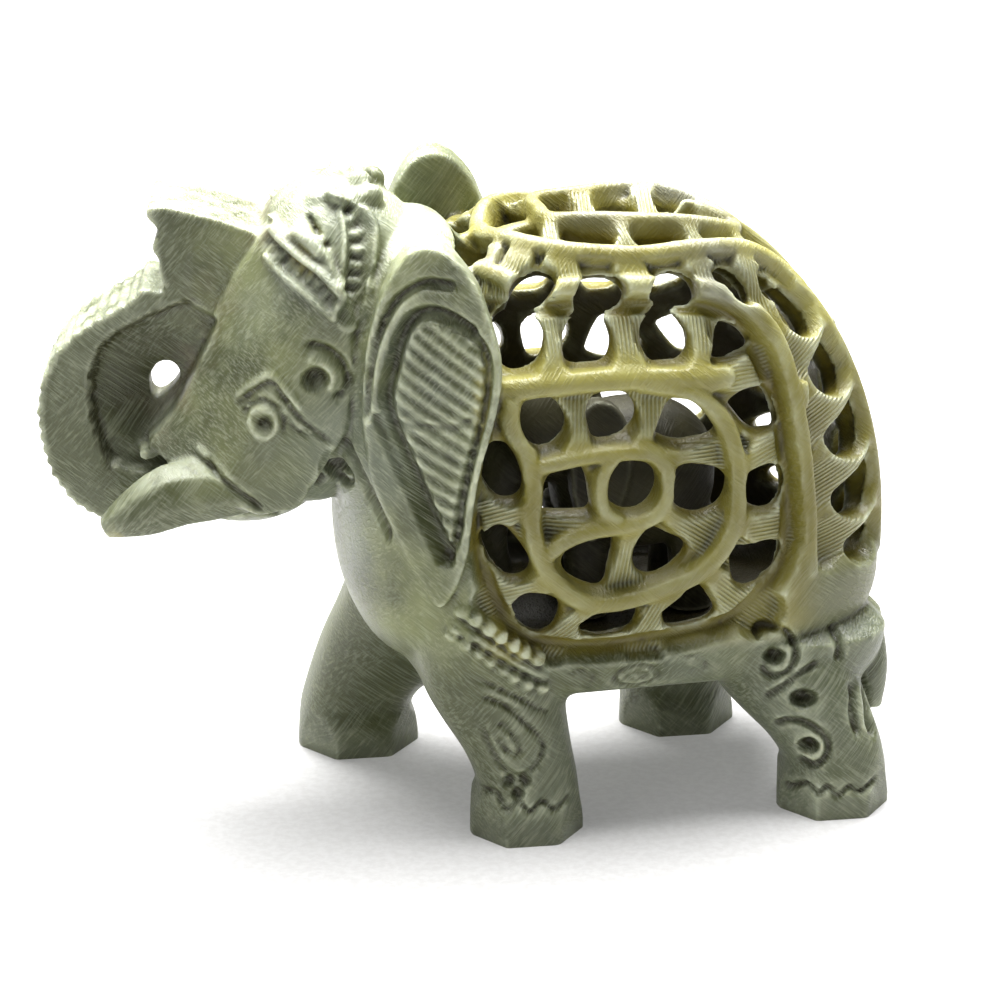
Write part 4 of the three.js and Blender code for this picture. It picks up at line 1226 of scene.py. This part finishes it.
class Recipe:
    """The nodes of a stone finish, added one to the next."""

    def __init__(self, name):
        self.material = bpy.data.materials.new(name)
        self.material.use_nodes = True
        self.nodes = self.material.node_tree.nodes
        self.links = self.material.node_tree.links
        self.shader = self.nodes["Principled BSDF"]
        self.object_place = self.nodes.new("ShaderNodeTexCoord").outputs["Object"]

    def attribute(self, name):
        node = self.nodes.new("ShaderNodeAttribute")
        node.attribute_name = name
        return node.outputs["Fac"]

    def stretched(self, turn, stretch):
        node = self.nodes.new("ShaderNodeMapping")
        node.vector_type = "TEXTURE"
        node.inputs["Rotation"].default_value = [math.radians(v) for v in turn]
        node.inputs["Scale"].default_value = [1 / v for v in stretch]
        self.links.new(self.object_place, node.inputs["Vector"])
        return node.outputs["Vector"]

    def noise(self, scale, detail=3.0, rough=0.5, place=None, low=0.35, high=0.65):
        node = self.nodes.new("ShaderNodeTexNoise")
        node.inputs["Scale"].default_value = scale
        node.inputs["Detail"].default_value = detail
        node.inputs["Roughness"].default_value = rough
        self.links.new(place or self.object_place, node.inputs["Vector"])
        spread = self.nodes.new("ShaderNodeMapRange")
        spread.interpolation_type = "SMOOTHSTEP"
        spread.inputs["From Min"].default_value = low
        spread.inputs["From Max"].default_value = high
        self.links.new(node.outputs["Fac"], spread.inputs["Value"])
        return spread.outputs["Result"]

    def sum(self, operation, a, b):
        node = self.nodes.new("ShaderNodeMath")
        node.operation = operation
        node.use_clamp = False
        for socket, value in zip(node.inputs, (a, b)):
            if isinstance(value, (int, float)):
                socket.default_value = value
            else:
                self.links.new(value, socket)
        return node.outputs[0]

    def mix(self, share, a, b):
        node = self.nodes.new("ShaderNodeMix")
        node.data_type = "RGBA"
        node.clamp_factor = True
        for socket, value in ((node.inputs[0], share), (node.inputs[6], a), (node.inputs[7], b)):
            if isinstance(value, tuple):
                socket.default_value = (*value, 1)
            elif isinstance(value, (int, float)):
                socket.default_value = value
            else:
                self.links.new(value, socket)
        return node.outputs[2]

    def bump(self, height, strength, distance, under=None):
        node = self.nodes.new("ShaderNodeBump")
        node.inputs["Strength"].default_value = strength
        node.inputs["Distance"].default_value = distance
        self.links.new(height, node.inputs["Height"])
        if under is not None:
            self.links.new(under, node.inputs["Normal"])
        return node.outputs["Normal"]


GREY_GREEN, DARK_GREEN, BLUE_GREY = (0.20, 0.22, 0.092), (0.060, 0.070, 0.024), (0.16, 0.185, 0.145)
HONEY, DARK_HONEY, ASH = (0.36, 0.335, 0.095), (0.17, 0.150, 0.022), (0.18, 0.18, 0.135)
# Painted shade colours: the dark olive of the lattice's recesses, and the near-black of deep hollows and
# creases.
RECESS_SHADE_OLIVE, DEEP_SHADE_OLIVE = (0.14, 0.115, 0.012), (0.02, 0.016, 0.002)
# A pale colour for dust, wear, scratches and combing, also used for painted highlight and painted light on
# lit faces.
DUST_AND_HIGHLIGHT, RUST = (0.60, 0.64, 0.47), (0.15, 0.095, 0.055)


def stone(recipe):
    """The scratched stone common to both animals: colour in patches, then scratches and pores."""
    mottle = recipe.noise(70, 4, 0.6)
    cloud = recipe.noise(38, 3, 0.55, low=0.42, high=0.66)
    grey = recipe.mix(mottle, DARK_GREEN, GREY_GREEN)
    grey = recipe.mix(recipe.sum("MULTIPLY", cloud, 0.75), grey, BLUE_GREY)
    rasp = recipe.noise(1, 2, 0.6, recipe.stretched((10, 38, 8), (150, 1500, 4200)), 0.42, 0.7)
    rasp_across = recipe.noise(1, 2, 0.6, recipe.stretched((-12, -48, 20), (140, 1400, 3800)), 0.42, 0.7)
    patches = recipe.noise(95, 2, 0.5, low=0.4, high=0.6)
    scratch = recipe.mix(patches, rasp, rasp_across)
    pores = recipe.noise(1500, 2, 0.6, low=0.3, high=0.7)
    return grey, scratch, pores


def elephant_stone():
    recipe = Recipe("carved_soapstone")
    grey, scratch, pores = stone(recipe)
    comb = recipe.attribute("comb")
    wave = recipe.sum("SINE", recipe.sum("MULTIPLY", comb, 2 * math.pi / COMB_PITCH), 0.0)
    wave = recipe.sum("MULTIPLY_ADD", wave, 0.5)
    wave.node.inputs[2].default_value = 0.5
    combed = recipe.sum("MULTIPLY", wave, recipe.attribute("combed"))
    ribbed = recipe.sum("MULTIPLY", wave, recipe.attribute("ribbed"))
    honey = recipe.mix(recipe.noise(60, 4, 0.6), DARK_HONEY, HONEY)
    honey = recipe.mix(recipe.sum("MULTIPLY", recipe.noise(33, 2, 0.5, low=0.55, high=0.68), 0.85), honey,
        ASH)
    # Painted shade: the grey and the honey stone are darkened on the trunk, the lower cheek, the belly, the
    # legs and the lower lattice.
    grey = recipe.mix(recipe.sum("MULTIPLY", recipe.attribute("shade_darkening"), 0.9), grey, DARK_GREEN)
    honey = recipe.mix(recipe.sum("MULTIPLY", recipe.attribute("shade_darkening"), 0.8), honey, DARK_HONEY)
    colour = recipe.mix(recipe.attribute("honey"), grey, honey)
    rust = recipe.sum("MULTIPLY", recipe.attribute("rust"), recipe.noise(90, 3, 0.6, low=0.45, high=0.7))
    colour = recipe.mix(recipe.sum("MULTIPLY", rust, 0.55), colour, RUST)
    # Painted shade: the lattice's recesses turn dark olive, and deep inside the shell almost black.
    recess_shade = recipe.attribute("recess_shade")
    recess_olive = recipe.mix(recipe.noise(120, 3, 0.5), RECESS_SHADE_OLIVE, DARK_HONEY)
    recess_olive = recipe.mix(recipe.attribute("inside"), recess_olive, DEEP_SHADE_OLIVE)
    colour = recipe.mix(recess_shade, colour, recess_olive)
    # Painted shade: creases and hollows are darkened to near-black olive.
    crease_shade = recipe.attribute("crease_shade")
    colour = recipe.mix(recipe.sum("MULTIPLY", crease_shade, 0.88), colour, DEEP_SHADE_OLIVE)
    bare = recipe.sum("SUBTRACT", 1.0, recipe.sum("MAXIMUM", recess_shade, recipe.sum("MULTIPLY",
        recipe.attribute("honey"), 0.7)))
    dusty = recipe.sum("MULTIPLY", recipe.sum("MULTIPLY", scratch, bare), 0.24)
    colour = recipe.mix(dusty, colour, DUST_AND_HIGHLIGHT)
    colour = recipe.mix(recipe.sum("MULTIPLY", recipe.sum("ADD", combed,
        recipe.sum("MULTIPLY", ribbed, 0.6)), 0.3), colour, DUST_AND_HIGHLIGHT)
    # Paler edges, wear with painted highlight, and painted light on the head's upward and the trunk's forward
    # faces.
    wear_and_highlight = recipe.sum("MULTIPLY", recipe.attribute("wear_and_highlight"), recipe.noise(260, 3, 0.6, low=0.25, high=0.6))
    colour = recipe.mix(recipe.sum("MULTIPLY", wear_and_highlight, 0.75), colour, DUST_AND_HIGHLIGHT)
    recipe.links.new(colour, recipe.shader.inputs["Base Color"])
    shine = recipe.sum("MULTIPLY_ADD", scratch, 0.22)
    shine.node.inputs[2].default_value = 0.36
    recipe.links.new(shine, recipe.shader.inputs["Roughness"])
    normal = recipe.bump(recipe.sum("MULTIPLY_ADD", ribbed, 0.6), 0.75, 0.00022)
    normal.node.inputs["Height"].links[0].from_node.inputs[2].default_value = 0
    recipe.links.new(combed, normal.node.inputs["Height"].links[0].from_node.inputs[2])
    normal = recipe.bump(scratch, 0.5, 0.00012, normal)
    normal = recipe.bump(pores, 0.35, 0.00005, normal)
    recipe.links.new(normal, recipe.shader.inputs["Normal"])
    recipe.shader.inputs["Subsurface Weight"].default_value = 0.18
    recipe.shader.inputs["Subsurface Radius"].default_value = (1.0, 0.85, 0.35)
    recipe.shader.inputs["Subsurface Scale"].default_value = 0.0016
    return recipe.material


def calf_stone():
    recipe = Recipe("carved_soapstone_inside")
    _grey, scratch, pores = stone(recipe)
    # Painted shade: the calf's stone is made almost black, as it lies deep inside the elephant's hollow.
    colour = recipe.mix(recipe.noise(110, 3, 0.5), (0.02, 0.017, 0.004), (0.055, 0.05, 0.016))
    colour = recipe.mix(recipe.sum("MULTIPLY", scratch, 0.14), colour, (0.20, 0.20, 0.13))
    # Paler edges, wear with painted highlight; near-black creases, painted shade.
    colour = recipe.mix(recipe.sum("MULTIPLY", recipe.attribute("wear_and_highlight"), 0.6), colour, (0.36, 0.36, 0.26))
    colour = recipe.mix(recipe.sum("MULTIPLY", recipe.attribute("crease_shade"), 0.8), colour, (0.02, 0.017, 0.004))
    recipe.links.new(colour, recipe.shader.inputs["Base Color"])
    recipe.shader.inputs["Roughness"].default_value = 0.55
    normal = recipe.bump(scratch, 0.5, 0.00012)
    normal = recipe.bump(pores, 0.3, 0.00005, normal)
    recipe.links.new(normal, recipe.shader.inputs["Normal"])
    return recipe.material


def paper():
    """The pale floor."""
    recipe = Recipe("pale_paper")
    colour = recipe.mix(recipe.noise(900, 4, 0.6), (0.41, 0.405, 0.40), (0.46, 0.457, 0.455))
    recipe.links.new(colour, recipe.shader.inputs["Base Color"])
    recipe.links.new(recipe.bump(recipe.noise(500, 4, 0.6), 0.25, 0.0002), recipe.shader.inputs["Normal"])
    recipe.shader.inputs["Roughness"].default_value = 0.9
    recipe.shader.inputs["Emission Color"].default_value = (1, 1, 1, 1)
    recipe.shader.inputs["Emission Strength"].default_value = 0.2
    return recipe.material


def finish_piece(piece, node, material):
    piece.data.materials.clear()
    piece.data.materials.append(material)
    put(piece, (places(piece) + ORIGIN) * MM)
    choose(piece)
    bpy.ops.object.shade_smooth()
    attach(piece, "root")
    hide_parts(node)


MOST_TRIANGLES = 192000
big = elephant()
small = calf()
triangles = sum(len(p.vertices) - 2 for p in big.data.polygons)
print("triangles before thinning", triangles)
if triangles > MOST_TRIANGLES:
    apply_modifier(big, "DECIMATE", decimate_type="COLLAPSE", ratio=MOST_TRIANGLES / triangles)
mark_elephant(big)
mark_calf(small)
finish_piece(big, "elephant", elephant_stone())
finish_piece(small, "calf", calf_stone())


# ---------------------------------------------------------------- studio
TARGET = (np.array([4.6, 0, 37.4]) + ORIGIN) * MM
AZIMUTH, ELEVATION, DISTANCE = math.radians(13), math.radians(20), 0.450
heading = Vector(
    (
        math.sin(AZIMUTH) * math.cos(ELEVATION),
        math.cos(AZIMUTH) * math.cos(ELEVATION),
        -math.sin(ELEVATION),
    )
)
bpy.ops.object.camera_add(location=Vector(TARGET) - heading * DISTANCE)
camera = bpy.context.object
camera.rotation_euler = heading.to_track_quat("-Z", "Y").to_euler()
camera.data.lens = 129.6
camera.data.sensor_width = 36
camera.data.clip_start = 0.01
bpy.context.scene.camera = camera

bpy.ops.mesh.primitive_plane_add(size=6, location=(0, 0, 0))
floor = bpy.context.object
floor.name = "floor"
floor.data.materials.append(paper())

world = bpy.data.worlds.new("studio")
bpy.context.scene.world = world
world.use_nodes = True
world.node_tree.nodes["Background"].inputs[0].default_value = (1, 1, 1, 1)
world.node_tree.nodes["Background"].inputs[1].default_value = 0.12


def softbox(name, place, size, power, aim=(0, 0, 0.04)):
    bpy.ops.object.light_add(type="AREA", location=place)
    light = bpy.context.object
    light.name = name
    light.data.size = size
    light.data.energy = power
    light.rotation_euler = (Vector(aim) - Vector(place)).to_track_quat("-Z", "Y").to_euler()


softbox("top", (0.03, 0.20, 0.60), 0.62, 24)
softbox("side", (-0.55, -0.25, 0.40), 0.4, 1.0)
bpy.context.scene.view_settings.view_transform = "Standard"
